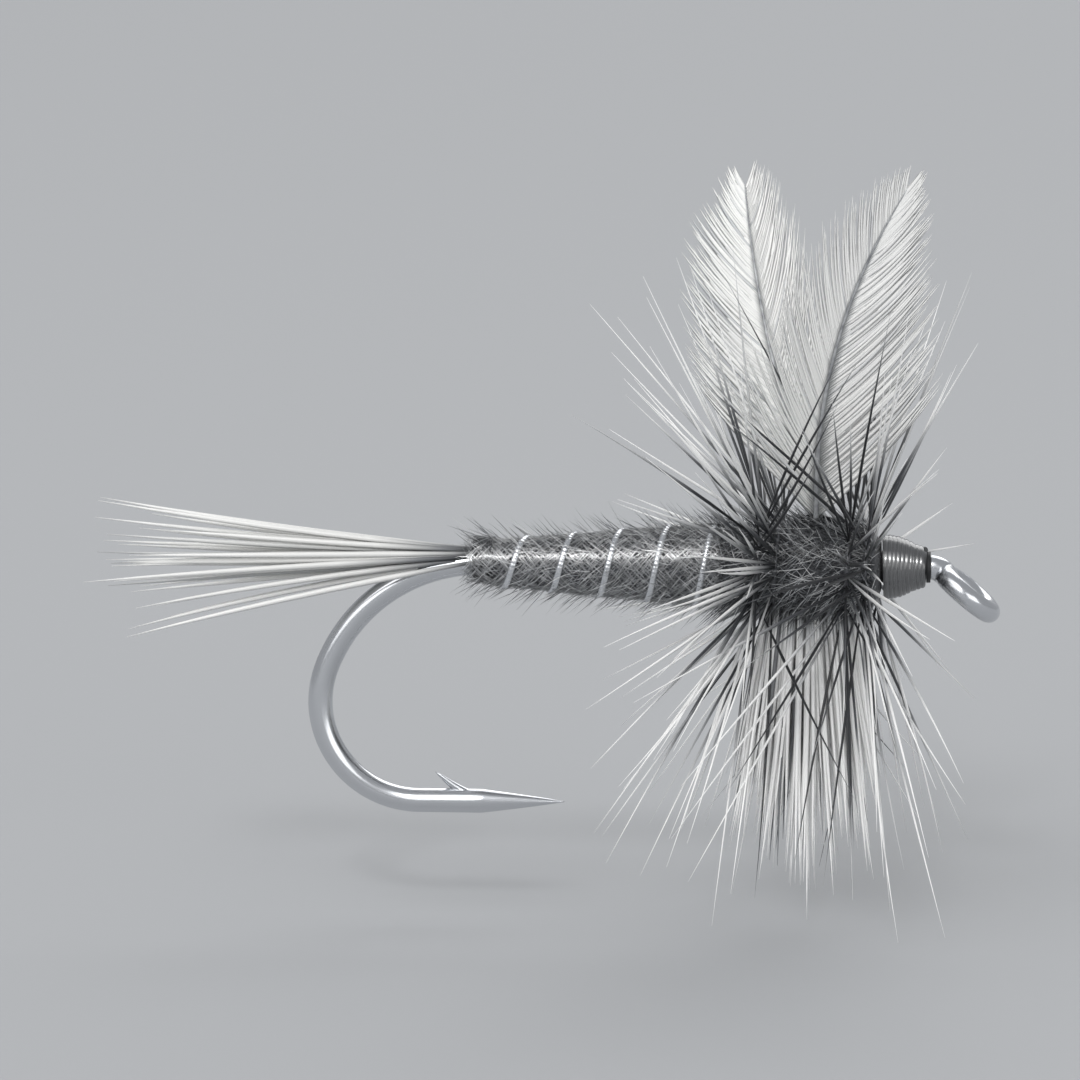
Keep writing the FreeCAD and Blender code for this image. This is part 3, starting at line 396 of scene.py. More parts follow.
def quill_material(name, dark, pale):
    """Feather stem: smooth horn with a faint mottled grain."""
    material, tree, shader = new_material(name, 0.32, Coat_Weight=0.3)
    place = add_node(tree, "ShaderNodeTexCoord", out=OBJECT)
    grain = add_node(tree, "ShaderNodeTexNoise", {"Vector": place, "Scale": 1 / (0.25 * MM), "Detail": 3.0})
    ramp = add_node(tree, "ShaderNodeValToRGB", {"Fac": grain})
    set_stops(ramp, {0.3: dark, 0.7: pale})
    tree.links.new(ramp, shader.inputs["Base Color"])
    return material


QUILL_HORN = quill_material("feather quill, polished pale horn", "#74767A", "#B4B6B8")
HACKLE_HORN = quill_material("badger hackle stem, dark horn", "#2B2C2F", "#55575B")

# %% [markdown]
# **Dubbing** is fur twisted on a waxed thread and wound round the shank. The mass is a dark charcoal, and
# single hairs catch the light, so the hairs get a spread of tones and the mass below them stays dark.
#
# **Thread** is waxed multifilament: nearly black, with a soft shine, and a fine slanting lay from its twist.
# On the head it is soaked with clear cement, which is a coat of lacquer in Blender's terms.

# %% Fur and thread materials
def fur_mass_material():
    """Matted underfur: dark, in soft clumps."""
    material, tree, shader = new_material("dubbed fur mass, charcoal underfur", 0.85, Sheen_Weight=0.2)
    place = add_node(tree, "ShaderNodeTexCoord", out=OBJECT)
    # clumps of underfur, 0.12 mm across
    clumps = add_node(tree, "ShaderNodeTexNoise", {"Vector": place, "Scale": 1 / (0.12 * MM), "Detail": 4.0})
    ramp = add_node(tree, "ShaderNodeValToRGB", {"Fac": clumps})
    set_stops(ramp, {0.3: "#222326", 0.7: "#505256"})
    tree.links.new(ramp, shader.inputs["Base Color"])
    bump = add_node(tree, "ShaderNodeBump", {"Height": clumps, "Strength": 0.6, "Distance": 0.05 * MM})
    tree.links.new(bump, shader.inputs["Normal"])
    return material


def shine_as_one(tree, shader, own_share):
    """Gives the coat the slope of a body round the shank, with a share of the surface's own slope."""
    place = add_node(tree, "ShaderNodeTexCoord").node.outputs
    spoke = add_node(tree, VECTOR_MATH, {0: place["Object"], 1: (0, 0, SHANK_Z)}, operation="SUBTRACT")
    spoke = add_node(tree, VECTOR_MATH, {0: spoke, 1: (0, 1, 1)}, operation="MULTIPLY")
    spoke = add_node(tree, VECTOR_MATH, {0: spoke}, operation="NORMALIZE")
    slope = add_node(tree, VECTOR_MATH, {
        0: place["Normal"], 1: (own_share,) * 3, 2: spoke,
    }, operation="MULTIPLY_ADD")
    slope = add_node(tree, VECTOR_MATH, {0: slope}, operation="NORMALIZE")
    tree.links.new(slope, shader.inputs["Coat Normal"])


def fur_hair_material(name, shine):
    """A single hair, of one tone from dark to nearly white."""
    material, tree, shader = new_material(name, 0.34, Coat_Weight=shine, Coat_Roughness=0.3, Coat_IOR=2.5)
    # hairs that lie side by side shine together as one smooth body
    shine_as_one(tree, shader, 0.0)
    tone = add_node(tree, ATTRIBUTE, out=SINGLE_VALUE, attribute_name="tone")
    ramp = add_node(tree, "ShaderNodeValToRGB", {"Fac": tone})
    set_stops(ramp, {0.0: "#242528", 0.35: "#55585B", 0.65: "#989B9E", 1.0: "#E2E3E4"})
    tree.links.new(ramp, shader.inputs["Base Color"])
    return material


FUR_MASS = fur_mass_material()
LAID_HAIR = fur_hair_material("dubbed fur hairs, laid flat, glossy", 1.0)
LOOSE_HAIR = fur_hair_material("dubbed fur hairs, picked out, satin", 0.12)


# the filaments show as so many lines round the thread, and along it the lines repeat after this length
LAY_LINES, LAY_LENGTH = 12, 0.9 * MM


def thread_material(name, lacquer, relief, dark, pale):
    """Waxed thread, whose `along` is in metres and whose `across` goes from 0 to 1 once round it."""
    material, tree, shader = new_material(
        name, 0.42, Coat_Weight=lacquer, Coat_Roughness=0.22, Coat_IOR=2.2,
    )
    # lacquer fills the grooves between the turns in part
    shine_as_one(tree, shader, 0.3)
    along = add_node(tree, ATTRIBUTE, out=SINGLE_VALUE, attribute_name="along")
    across = add_node(tree, ATTRIBUTE, out=SINGLE_VALUE, attribute_name="across")
    lay = add_node(tree, MATH, {0: along, 1: math.tau / LAY_LENGTH}, operation="MULTIPLY")
    slant = add_node(tree, MATH, {0: across, 1: LAY_LINES * math.tau}, operation="MULTIPLY")
    phase = add_node(tree, MATH, {0: lay, 1: slant}, operation="ADD")
    wave = add_node(tree, MATH, {0: phase}, operation="SINE")
    ramp = add_node(tree, "ShaderNodeValToRGB", {"Fac": wave})
    set_stops(ramp, {0.0: dark, 1.0: pale})
    tree.links.new(ramp, shader.inputs["Base Color"])
    bump = add_node(tree, "ShaderNodeBump", {"Height": wave, "Strength": relief, "Distance": 0.01 * MM})
    tree.links.new(bump, shader.inputs["Normal"])
    return material


WAXED_THREAD = thread_material("waxed tying thread, twisted nylon", 0.1, 0.4, "#1F2022", "#46484B")
LACQUERED_THREAD = thread_material("black tying thread under clear lacquer", 1.0, 0.1, "#1A1B1D", "#3E4043")
HEAD_CEMENT = new_material(
    "head cement, clear lacquer over black thread", 0.08, "#1C1D1F", Coat_Weight=1.0, Coat_Roughness=0.03
)[0]

# %% [markdown]
# **The rib** is oval tinsel: a bright metal strip wound round a thread core, which shows as fine cross lines.
# **The hook** is drawn carbon steel with bright nickel plate. Drawing leaves faint lines along the wire.

# %% Metal materials
# at a scale of 1, the bands of a wave texture are this far apart
WAVE_PERIOD = math.pi / 10
WIRE = 0.62 * MM
# the drawing lines' size across and along the wire, in millimetres as the UV map is
DRAWN_WIDTH, DRAWN_LENGTH = 0.0325, 2.9


def tinsel_material():
    """Bright strip wound round a core, with fine lines across where its edges meet."""
    material, tree, shader = new_material("oval silver tinsel, wound strip", 0.24, "#E3E5E8", Metallic=1.0)
    uv = add_node(tree, "ShaderNodeUVMap", uv_map="UVMap")
    # the strip's edges are 0.1 mm apart, along V in millimetres
    wave = add_node(tree, "ShaderNodeTexWave", {
        "Vector": uv, "Scale": WAVE_PERIOD / 0.1, "Distortion": 0.6,
    }, bands_direction="Y")
    bump = add_node(tree, "ShaderNodeBump", {"Height": wave, "Strength": 0.5, "Distance": 0.012 * MM})
    tree.links.new(bump, shader.inputs["Normal"])
    return material


def wire_material():
    """Bright plate on drawn wire, with faint lines along it."""
    material, tree, shader = new_material("nickel plated carbon steel wire", 0.2, "#D6D8DB", Metallic=1.0)
    uv = add_node(tree, "ShaderNodeUVMap", uv_map="UVMap")
    # drawing lines: U goes once round the wire, V runs along it in millimetres
    round_wire = math.pi * WIRE / MM
    lines = add_node(tree, "ShaderNodeMapping", {
        "Vector": uv, "Scale": (round_wire / DRAWN_WIDTH, 1 / DRAWN_LENGTH, 1.0),
    })
    drawn = add_node(tree, "ShaderNodeTexNoise", {"Vector": lines, "Scale": 1.0, "Detail": 3.0})
    bump = add_node(tree, "ShaderNodeBump", {"Height": drawn, "Strength": 0.25, "Distance": 0.008 * MM})
    tree.links.new(bump, shader.inputs["Normal"])
    rough = add_node(tree, "ShaderNodeMapRange", {"Value": drawn, "To Min": 0.12, "To Max": 0.3})
    tree.links.new(rough, shader.inputs["Roughness"])
    return material


SILVER_TINSEL, NICKEL_WIRE = tinsel_material(), wire_material()
print("materials:", len(bpy.data.materials))

# %% [markdown]
# ## The hook
#
# A hook is one piece of wire: ground to a point, cut once to raise the barb, bent on two radii, and curled
# into a ring at the other end. The same steps make it here. The centreline is a chain of arcs and straight
# lines, worked out as the CAD frame works it out, and one section is swept along it. The wire's end is
# tapered and lies against the neck, so the ring closes as a real one does.

# %% Centreline of the wire
EYE_WIRE = 0.54 * MM
EYE_RADIUS = 0.78 * MM
EYE_TILT = math.radians(40)
NECK_RADIUS = 0.45 * MM
LOWER_BEND = 2.5 * MM
BEND_THROW = 4.1 * MM
SPEAR = 1.6 * MM
POINT, POINT_TIP = 2.1 * MM, 0.035 * MM
# where the neck's blend joins the ring, where the ring ends, and the last stretch, over which it tapers
RING_JOIN, RING_END, RING_TAPER = (math.radians(degrees) for degrees in (52, 336, 60))
HOOK_GAP = SHANK_Z - hook_low.z - WIRE / 2
BEND_CENTRE = -hook_low.x - WIRE / 2 - LOWER_BEND
SHANK_END = BEND_CENTRE + LOWER_BEND - BEND_THROW
NECK_END = EYE_RADIUS * math.cos(EYE_TILT) + NECK_RADIUS * math.sin(EYE_TILT)


def behind(distance, depth):
    """A point so far behind the eye and so far below the shank's axis."""
    return Vector((-distance, 0, SHANK_Z - depth))


def arc(centre, radius, start, end, count):
    """Points on an arc, given by its centre behind and below, and angles from straight back."""
    return [
        behind(centre[0] + radius * math.cos(turn), centre[1] + radius * math.sin(turn))
        for turn in steps(start, end, count)
    ]


def hook_centreline():
    """Points from the hook's point to the tapered end of its eye, and the wire's diameter at each."""
    quarter = math.pi / 2
    turn = 2 * math.atan2(HOOK_GAP - 2 * LOWER_BEND, BEND_THROW - LOWER_BEND)
    upper = LOWER_BEND + (BEND_THROW - LOWER_BEND) / math.sin(turn)
    spear_end = BEND_CENTRE - SPEAR
    path = [behind(back, HOOK_GAP) for back in steps(spear_end - POINT, spear_end, 26)]
    # ground to a long, slightly rounded point
    widths = [max(POINT_TIP, WIRE * share**0.85) for share in steps(0, 1, 26)]
    bend = [behind(back, HOOK_GAP) for back in steps(spear_end, BEND_CENTRE, 8)][1:]
    bend += arc((BEND_CENTRE, HOOK_GAP - LOWER_BEND), LOWER_BEND, quarter, turn - quarter, 48)[1:]
    bend += arc((SHANK_END, upper), upper, turn - quarter, -quarter, 40)[1:]
    bend += [behind(back, 0) for back in steps(SHANK_END, NECK_END, 24)][1:]
    bend += arc((NECK_END, NECK_RADIUS), NECK_RADIUS, -quarter, -quarter - EYE_TILT, 10)[1:]
    path += bend
    widths += [WIRE] * len(bend)
    forward = Vector((math.cos(EYE_TILT), 0, -math.sin(EYE_TILT)))
    side = Vector((0, -1, 0))

    def ring(angle):
        return (side * math.sin(angle) - forward * math.cos(angle)) * EYE_RADIUS

    # a cubic blend leaves the neck straight ahead and arrives along the ring
    start, end = path[-1], ring(RING_JOIN)
    pull = 0.9 * EYE_RADIUS
    leave = forward * pull
    arrive = (side * math.cos(RING_JOIN) + forward * math.sin(RING_JOIN)) * pull
    for share in steps(0, 1, 10)[1:]:
        of_start, of_leave = 2 * share**3 - 3 * share**2 + 1, share**3 - 2 * share**2 + share
        of_end, of_arrive = 3 * share**2 - 2 * share**3, share**3 - share**2
        path.append(start * of_start + leave * of_leave + end * of_end + arrive * of_arrive)
        widths.append(WIRE + (EYE_WIRE - WIRE) * share)
    for angle in steps(RING_JOIN, RING_END, 60)[1:]:
        path.append(ring(angle))
        left = max((RING_END - angle) / RING_TAPER, 0.0)
        widths.append(EYE_WIRE * min(1.0, 0.55 + 0.45 * left**0.5))
    return path, widths


wire_path, wire_widths = hook_centreline()
print("wire:", round(sum((b - a).length for a, b in zip(wire_path, wire_path[1:])) / MM, 1), "mm long")

# %% [markdown]
# The barb is a sliver of the wire, cut from behind the point and bent up. It is a second, tapered sweep,
# rooted inside the wire and joined to it with a boolean, so that the hook stays one closed skin.

# %% Barb and finished hook
def join_solids(target, tool_mesh):
    """Unites another closed mesh with the target's, and keeps the result."""
    tool = new_object("tool", tool_mesh)
    union = target.modifiers.new("Join", "BOOLEAN")
    union.operation = "UNION"
    union.object = tool
    bpy.context.view_layer.update()
    evaluated = target.evaluated_get(bpy.context.evaluated_depsgraph_get())
    mesh = bpy.data.meshes.new_from_object(evaluated)
    target.modifiers.clear()
    target.data = mesh
    bpy.data.objects.remove(tool)


def barb_sliver():
    """Tapered sliver that rises backwards from the spear."""
    reach, length = 1.17 * MM, 0.95 * MM
    root_rise, tip_rise = WIRE * 0.16, WIRE / 2 + 0.42 * MM
    width, height, tip = 0.34 * MM, 0.3 * MM, 0.02 * MM
    root_back = BEND_CENTRE - SPEAR + reach - length
    path, widths, heights = [], [], []
    for share in steps(0, 1, 14):
        rise = root_rise + (tip_rise - root_rise) * share**1.25
        path.append(behind(root_back + length * share, HOOK_GAP - rise))
        widths.append(width * (1 - share) ** 0.7 + tip)
        heights.append(height * (1 - share) ** 0.8 + tip)
    return sweep("barb", path, widths, 16, heights)


hook = new_object("hook_wire", sweep("hook_wire", wire_path, wire_widths, 28))
join_solids(hook, barb_sliver())
hook.data.materials.clear()
hook.data.materials.append(NICKEL_WIRE)
finish_piece(hook, "hook_steel", "hook")

# %% [markdown]
# ## A tree that grows fibres
#
# Hackle, tail, throat, wing barbs and fur are all the same thing: a thin tapered fibre on a root point, many
# times over. So one node group grows them, and every other fibre tree only decides where the roots are and
# which way each fibre points.
#
# The group puts one small closed cylinder on each root, makes the instances real, and then moves their
# points: up the fibre by `Direction` and `Length`, aside by `Bend` (which grows with the square of the
# height, as a bent cantilever does), and in or out by the taper. Five to ten rings are enough, because there
# are thousands. `Darkest` and `Palest` are the range of the random tone that each fibre gets.

# %% The fibre group
FIBRE_INPUTS = {
    "Direction": ("Vector", (0, 0, 1)), "Bend": ("Vector", (0, 0, 0)), "Side": ("Vector", (1, 0, 0)),
    "Length": ("Float", 0.005), "Width": ("Float", 0.0001), "Flatness": ("Float", 1.0),
    "Root Width": ("Float", 0.5), "Belly": ("Float", 0.3), "Sharpness": ("Float", 1.6),
    "Sides": ("Int", 5), "Rings": ("Int", 7), "Keep": ("Bool", True), "Seed": ("Int", 0),
    "Darkest": ("Float", 0.0), "Palest": ("Float", 1.0),
}
# the thinnest end of a fibre, as a share of its width
THINNEST = 0.06
STORE, STORED = "GeometryNodeStoreNamedAttribute", "GeometryNodeInputNamedAttribute"


def fibre_group():
    """The node group that grows a fibre on every point."""
    tree, given = geometry_tree("Grow fibres", FIBRE_INPUTS)
    place = add_node(tree, "GeometryNodeInputPosition")
    reach = add_node(tree, VECTOR_MATH, {0: given["Direction"], "Scale": given["Length"]}, operation="SCALE")
    half = add_node(tree, MATH, {0: given["Width"], 1: 0.5}, operation="MULTIPLY")
    side = add_node(tree, VECTOR_MATH, {0: given["Side"], "Scale": half}, operation="SCALE")
    out = add_node(tree, VECTOR_MATH, {0: given["Direction"], 1: side}, operation="CROSS_PRODUCT")
    thick = add_node(tree, VECTOR_MATH, {0: out, "Scale": given["Flatness"]}, operation="SCALE")
    tone = add_node(tree, "FunctionNodeRandomValue", {
        "Min": given["Darkest"], "Max": given["Palest"], "Seed": given["Seed"],
    }, data_type="FLOAT")
    points = add_node(tree, STORE, {
        "Geometry": given["Geometry"], "Name": "tone", "Value": tone,
    }, data_type="FLOAT")
    kept = {"root": place, "reach": reach, "bend": given["Bend"], "side": side, "thick": thick}
    for name, value in kept.items():
        points = add_node(tree, STORE, {
            "Geometry": points, "Name": name, "Value": value,
        }, data_type="FLOAT_VECTOR")
    blank = add_node(tree, "GeometryNodeMeshCylinder", {
        "Vertices": given["Sides"], "Side Segments": given["Rings"], "Radius": 1.0, "Depth": 1.0,
    })
    raised = add_node(tree, "GeometryNodeTransform", {"Geometry": blank, "Translation": (0, 0, 0.5)})
    copies = add_node(tree, "GeometryNodeInstanceOnPoints", {
        "Points": points, "Selection": given["Keep"], "Instance": raised,
    })
    fibres = add_node(tree, "GeometryNodeRealizeInstances", {"Geometry": copies})
    # the real copies carry the stored values of the point that each one stands on
    for name in kept:
        kept[name] = add_node(tree, STORED, {"Name": name}, data_type="FLOAT_VECTOR")
    local = add_node(tree, VECTOR_MATH, {0: place, 1: kept["root"]}, operation="SUBTRACT")
    axes = add_node(tree, "ShaderNodeSeparateXYZ", {"Vector": local}).node.outputs
    swell = add_node(tree, "ShaderNodeMapRange", {
        "Value": axes["Z"], "From Max": given["Belly"], "To Min": given["Root Width"], "To Max": 1.0,
    }, interpolation_type="SMOOTHSTEP")
    gone = add_node(tree, MATH, {0: axes["Z"], 1: given["Sharpness"]}, operation="POWER")
    left = add_node(tree, MATH, {0: 1.0, 1: gone}, operation="SUBTRACT")
    taper = add_node(tree, MATH, {0: swell, 1: left}, operation="MULTIPLY")
    taper = add_node(tree, MATH, {0: taper, 1: THINNEST}, operation="MAXIMUM")
    square = add_node(tree, MATH, {0: axes["Z"], 1: axes["Z"]}, operation="MULTIPLY")
    wide = add_node(tree, MATH, {0: axes["X"], 1: taper}, operation="MULTIPLY")
    deep = add_node(tree, MATH, {0: axes["Y"], 1: taper}, operation="MULTIPLY")
    spot = kept["root"]
    for name, much in (("reach", axes["Z"]), ("bend", square), ("side", wide), ("thick", deep)):
        step = add_node(tree, VECTOR_MATH, {0: kept[name], "Scale": much}, operation="SCALE")
        spot = add_node(tree, VECTOR_MATH, {0: spot, 1: step}, operation="ADD")
    for name, value in (("along", axes["Z"]), ("across", axes["X"])):
        fibres = add_node(tree, STORE, {"Geometry": fibres, "Name": name, "Value": value}, data_type="FLOAT")
    fibres = add_node(tree, "GeometryNodeSetPosition", {"Geometry": fibres, "Position": spot})
    for name in kept:
        fibres = add_node(tree, "GeometryNodeRemoveAttribute", {"Geometry": fibres, "Name": name})
    add_node(tree, "NodeGroupOutput", {"Geometry": fibres})
    print("tree:", tree.name, "with", len(tree.nodes), "nodes")
    return tree


GROW_FIBRES = fibre_group()

# %% Helpers of the trees that grow fibres
def scatter_values(tree, seed, names):
    """For each name, a random value from -1 to 1 on every point, on a seed of its own."""
    values = {}
    for offset, name in enumerate(names, start=1):
        own = add_node(tree, MATH, {0: seed, 1: float(offset)}, operation="ADD")
        values[name] = add_node(tree, "FunctionNodeRandomValue", {
            "Min": -1.0, "Max": 1.0, "Seed": own,
        }, data_type="FLOAT")
    return values


def vector_sum(tree, terms):
    """Adds up vectors, each scaled by its own number: terms are (vector, number)."""
    total = None
    for vector, number in terms:
        scaled = add_node(tree, VECTOR_MATH, {0: vector, "Scale": number}, operation="SCALE")
        if total is None:
            total = scaled
        else:
            total = add_node(tree, VECTOR_MATH, {0: total, 1: scaled}, operation="ADD")
    return total


# %% [markdown]
# ## The tail
#
# The tail is two or three dozen stiff fibres from the side of a cock's feather, laid together on the shank,
# bound at the bend and fanned out. A *bunch* tree makes it: its roots fill a small rectangle and its fibres
# fan out from it, both placed by the golden ratio so that they are even but never in rows. The throat below
# the wings is the same kind of bunch, so it uses the same tree.

# %% Bunch: lengths
BUNCH_INPUTS = {
    "Fibres": ("Int", 20), "Origin": ("Vector", None), "Axis": ("Vector", None),
    "Across": ("Vector", None), "Up": ("Vector", None), "Half Width": ("Float", 0.0),
    "Half Height": ("Float", 0.0), "Spread Across": ("Float", 0.1), "Spread Up": ("Float", 0.1),
    "Crowding": ("Float", 1.0), "Curl Out": ("Float", 0.0),
    "Length": ("Float", 0.01), "Length Scatter": ("Float", 0.2), "Shorter Sides": ("Float", 0.0),
    "Clumps": ("Float", 8.0), "Clump": ("Float", 0.0), "Curl": ("Float", 0.03), "Width": ("Float", 0.0001),
    "Sharpness": ("Float", 1.6), "Seed": ("Int", 0), "Material": ("Material", None),
}
GOLDEN = (math.sqrt(5) - 1) / 2


def bunch_lengths(tree, given, across, clump, chance):
    """Length of each fibre: chance shortens it, and so do its clump and its place at the side."""
    short = add_node(tree, "ShaderNodeMapRange", {
        "Value": chance, "From Min": -1.0, "To Min": 0.0, "To Max": given["Length Scatter"],
    })
    share = add_node(tree, MATH, {0: 1.0, 1: short}, operation="SUBTRACT")
    own = add_node(tree, MATH, {0: clump, 1: GOLDEN}, operation="MULTIPLY")
    own = add_node(tree, MATH, {0: own}, operation="FRACT")
    own = add_node(tree, MATH, {0: own, 1: given["Clump"]}, operation="MULTIPLY")
    share = add_node(tree, MATH, {0: share, 1: own}, operation="SUBTRACT")
    aside = add_node(tree, MATH, {0: across, 1: across}, operation="MULTIPLY")
    aside = add_node(tree, MATH, {0: aside, 1: given["Shorter Sides"]}, operation="MULTIPLY")
    share = add_node(tree, MATH, {0: share, 1: aside}, operation="SUBTRACT")
    return add_node(tree, MATH, {0: given["Length"], 1: share}, operation="MULTIPLY")


# %% The bunch tree
def bunch_tree():
    """Fibres that leave a small rectangle together and fan out."""
    tree, given = geometry_tree("Bunch of fibres", BUNCH_INPUTS)
    roots = add_node(tree, "GeometryNodePoints", {"Count": given["Fibres"]})
    index = add_node(tree, "GeometryNodeInputIndex")
    golden = add_node(tree, MATH, {0: index, 1: GOLDEN}, operation="MULTIPLY")
    wrapped = add_node(tree, MATH, {0: golden}, operation="FRACT")
    across = add_node(tree, "ShaderNodeMapRange", {"Value": wrapped, "To Min": -1.0, "To Max": 1.0})
    up = add_node(tree, "ShaderNodeMapRange", {
        "Value": index, "From Max": given["Fibres"], "To Min": -1.0, "To Max": 1.0,
    })
    random_of = scatter_values(tree, given["Seed"], ("length", "curl across", "curl up", "aside"))
    # a little chance on the even places, so that the fan isn't a comb
    across = add_node(tree, MATH, {0: random_of["aside"], 1: 0.12, 2: across}, operation="MULTIPLY_ADD")
    wide = add_node(tree, MATH, {0: across, 1: given["Half Width"]}, operation="MULTIPLY")
    high = add_node(tree, MATH, {0: up, 1: given["Half Height"]}, operation="MULTIPLY")
    place = vector_sum(tree, [(given["Origin"], 1.0), (given["Across"], wide), (given["Up"], high)])
    roots = add_node(tree, "GeometryNodeSetPosition", {"Geometry": roots, "Position": place})
    # fibres cling together: each leans a little towards the middle of its clump
    clump = add_node(tree, MATH, {0: across, 1: given["Clumps"]}, operation="MULTIPLY")
    clump = add_node(tree, MATH, {0: clump}, operation="ROUND")
    middle = add_node(tree, MATH, {0: clump, 1: given["Clumps"]}, operation="DIVIDE")
    off_middle = add_node(tree, MATH, {0: middle, 1: across}, operation="SUBTRACT")
    lean_across = add_node(tree, MATH, {0: across, 1: given["Spread Across"]}, operation="MULTIPLY")
    lean_across = add_node(tree, MATH, {0: off_middle, 1: given["Clump"], 2: lean_across},
                           operation="MULTIPLY_ADD")
    # crowding draws the fibres to the middle of the fan, and leaves a few far out
    size_up = add_node(tree, MATH, {0: up}, operation="ABSOLUTE")
    size_up = add_node(tree, MATH, {0: size_up, 1: given["Crowding"]}, operation="POWER")
    way_up = add_node(tree, MATH, {0: up}, operation="SIGN")
    crowded = add_node(tree, MATH, {0: size_up, 1: way_up}, operation="MULTIPLY")
    lean_up = add_node(tree, MATH, {0: crowded, 1: given["Spread Up"]}, operation="MULTIPLY")
    heading = vector_sum(tree, [
        (given["Axis"], 1.0), (given["Across"], lean_across), (given["Up"], lean_up),
    ])
    heading = add_node(tree, VECTOR_MATH, {0: heading}, operation="NORMALIZE")
    length = bunch_lengths(tree, given, across, clump, random_of["length"])
    curl = add_node(tree, MATH, {0: length, 1: given["Curl"]}, operation="MULTIPLY")
    curl_across = add_node(tree, MATH, {0: curl, 1: random_of["curl across"]}, operation="MULTIPLY")
    curl_up = add_node(tree, MATH, {0: curl, 1: random_of["curl up"]}, operation="MULTIPLY")
    curl_out = add_node(tree, MATH, {0: crowded, 1: given["Curl Out"]}, operation="MULTIPLY")
    curl_up = add_node(tree, MATH, {0: curl_out, 1: length, 2: curl_up}, operation="MULTIPLY_ADD")
    bend = vector_sum(tree, [(given["Across"], curl_across), (given["Up"], curl_up)])
    side = add_node(tree, VECTOR_MATH, {0: heading, 1: given["Across"]}, operation="CROSS_PRODUCT")
    side = add_node(tree, VECTOR_MATH, {0: side}, operation="NORMALIZE")
    fibres = add_node(tree, "GeometryNodeGroup", {
        "Geometry": roots, "Direction": heading, "Bend": bend, "Side": side, "Length": length,
        "Width": given["Width"], "Sharpness": given["Sharpness"], "Seed": given["Seed"],
    }, node_tree=GROW_FIBRES)
    return end_tree(tree, fibres, given["Material"])


BUNCH = bunch_tree()
empty_start = bpy.data.meshes.new("empty start")

# %% Grow the tail
tail_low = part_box("tail_fibres")[0]
tie_low, tie_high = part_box("tail_lashing")
TIE_Z = (tie_low.z + tie_high.z) / 2
# the bundle lies on top of the shank, so its axis is above that of the lashing round both
BUNDLE_RISE = 0.12 * MM
# it droops by this much in each unit of length
TAIL_DROOP = 0.03
tail = keep_result("tail", empty_start.copy(), BUNCH, {
    "Fibres": 34, "Origin": (tie_high.x, 0, TIE_Z + BUNDLE_RISE), "Axis": (-1, 0, -TAIL_DROOP),
    "Across": (0, 1, 0), "Up": (0, 0, 1), "Half Width": 0.2 * MM, "Half Height": 0.1 * MM,
    "Spread Across": 0.15, "Spread Up": 0.13, "Crowding": 2.4, "Curl Out": 0.06,
    "Length": tie_high.x - tail_low.x, "Length Scatter": 0.2, "Curl": 0.03, "Width": 0.17 * MM,
    "Sharpness": 4.0, "Seed": 4, "Material": TAIL_HACKLE,
})
finish_piece(tail, "hackle_fibre", "tail_fibres")

# %% [markdown]
# ## The body
#
# The body is fur dubbing: a matted core, hairs that lie round it in both directions, and coarser guard hairs
# that escape and lean back. The core is a turning with helical ridges, because dubbing is wound on as a rope.
# The hairs are grown by a *fur* tree: it scatters roots over the core, and each hair leaves along the surface
# and bows round it.

# %% Core of the abdomen
REAR_RADIUS = 0.56 * MM
FRONT_RADIUS = abdomen_high.z - SHANK_Z
RIB_PITCH = 1.2 * MM
rib_low, rib_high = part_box("rib_tinsel")
RIB_WIDTH, RIB_THICKNESS = 0.17 * MM, 0.11 * MM
RIB_START, RIB_END = rib_low.x + RIB_WIDTH / 2, rib_high.x - RIB_WIDTH / 2
CORE_ROUNDING = 0.3 * MM


def abdomen_radius(station):
    """Radius of the tapered body at a place along X."""
    share = (station - abdomen_low.x) / (abdomen_high.x - abdomen_low.x)
    return REAR_RADIUS + (FRONT_RADIUS - REAR_RADIUS) * share


def fur_core(low, high, radius_at, rope, height):
    """Radius function of a matted core: ridges of a wound rope, lumps on them, and ends that round off."""
    def radius(station, angle):
        turns = (station - low) / rope + angle / math.tau
        from_end = min(station - low, high - station)
        ends = min(1.0, from_end / CORE_ROUNDING + 0.35)
        # two waves that wind opposite ways at different rates, so that their lumps never line up
        lumps = 0.5 * math.sin(5 * angle + 2.1 * turns) + 0.5 * math.sin(9 * angle - 3.7 * turns)
        return radius_at(station) * ends**0.4 - height * (1.2 - math.cos(math.tau * turns) - 0.4 * lumps)
    return radius


solid_piece("abdomen_core", turning(
    "abdomen_core", steps(abdomen_low.x, abdomen_high.x, 150),
    fur_core(abdomen_low.x, abdomen_high.x, abdomen_radius, 0.3 * MM, 0.02 * MM), 72,
), FUR_MASS, "dubbing", "abdomen")

# %% The fur tree
FUR_INPUTS = {
    "Density": ("Float", 1e7), "Length": ("Float", 0.0005), "Length Scatter": ("Float", 0.4),
    "Slant": ("Float", 0.6), "Slant Scatter": ("Float", 0.2), "Lift": ("Float", 0.1),
    "Lift Scatter": ("Float", 0.1), "Hug": ("Float", 1.0), "Curl": ("Float", 0.1),
    "Width": ("Float", 0.00003), "Shank Height": ("Float", 0.0), "Seed": ("Int", 0),
    "Material": ("Material", None),
}
TIGHTEST_CURVE = 0.4 * MM


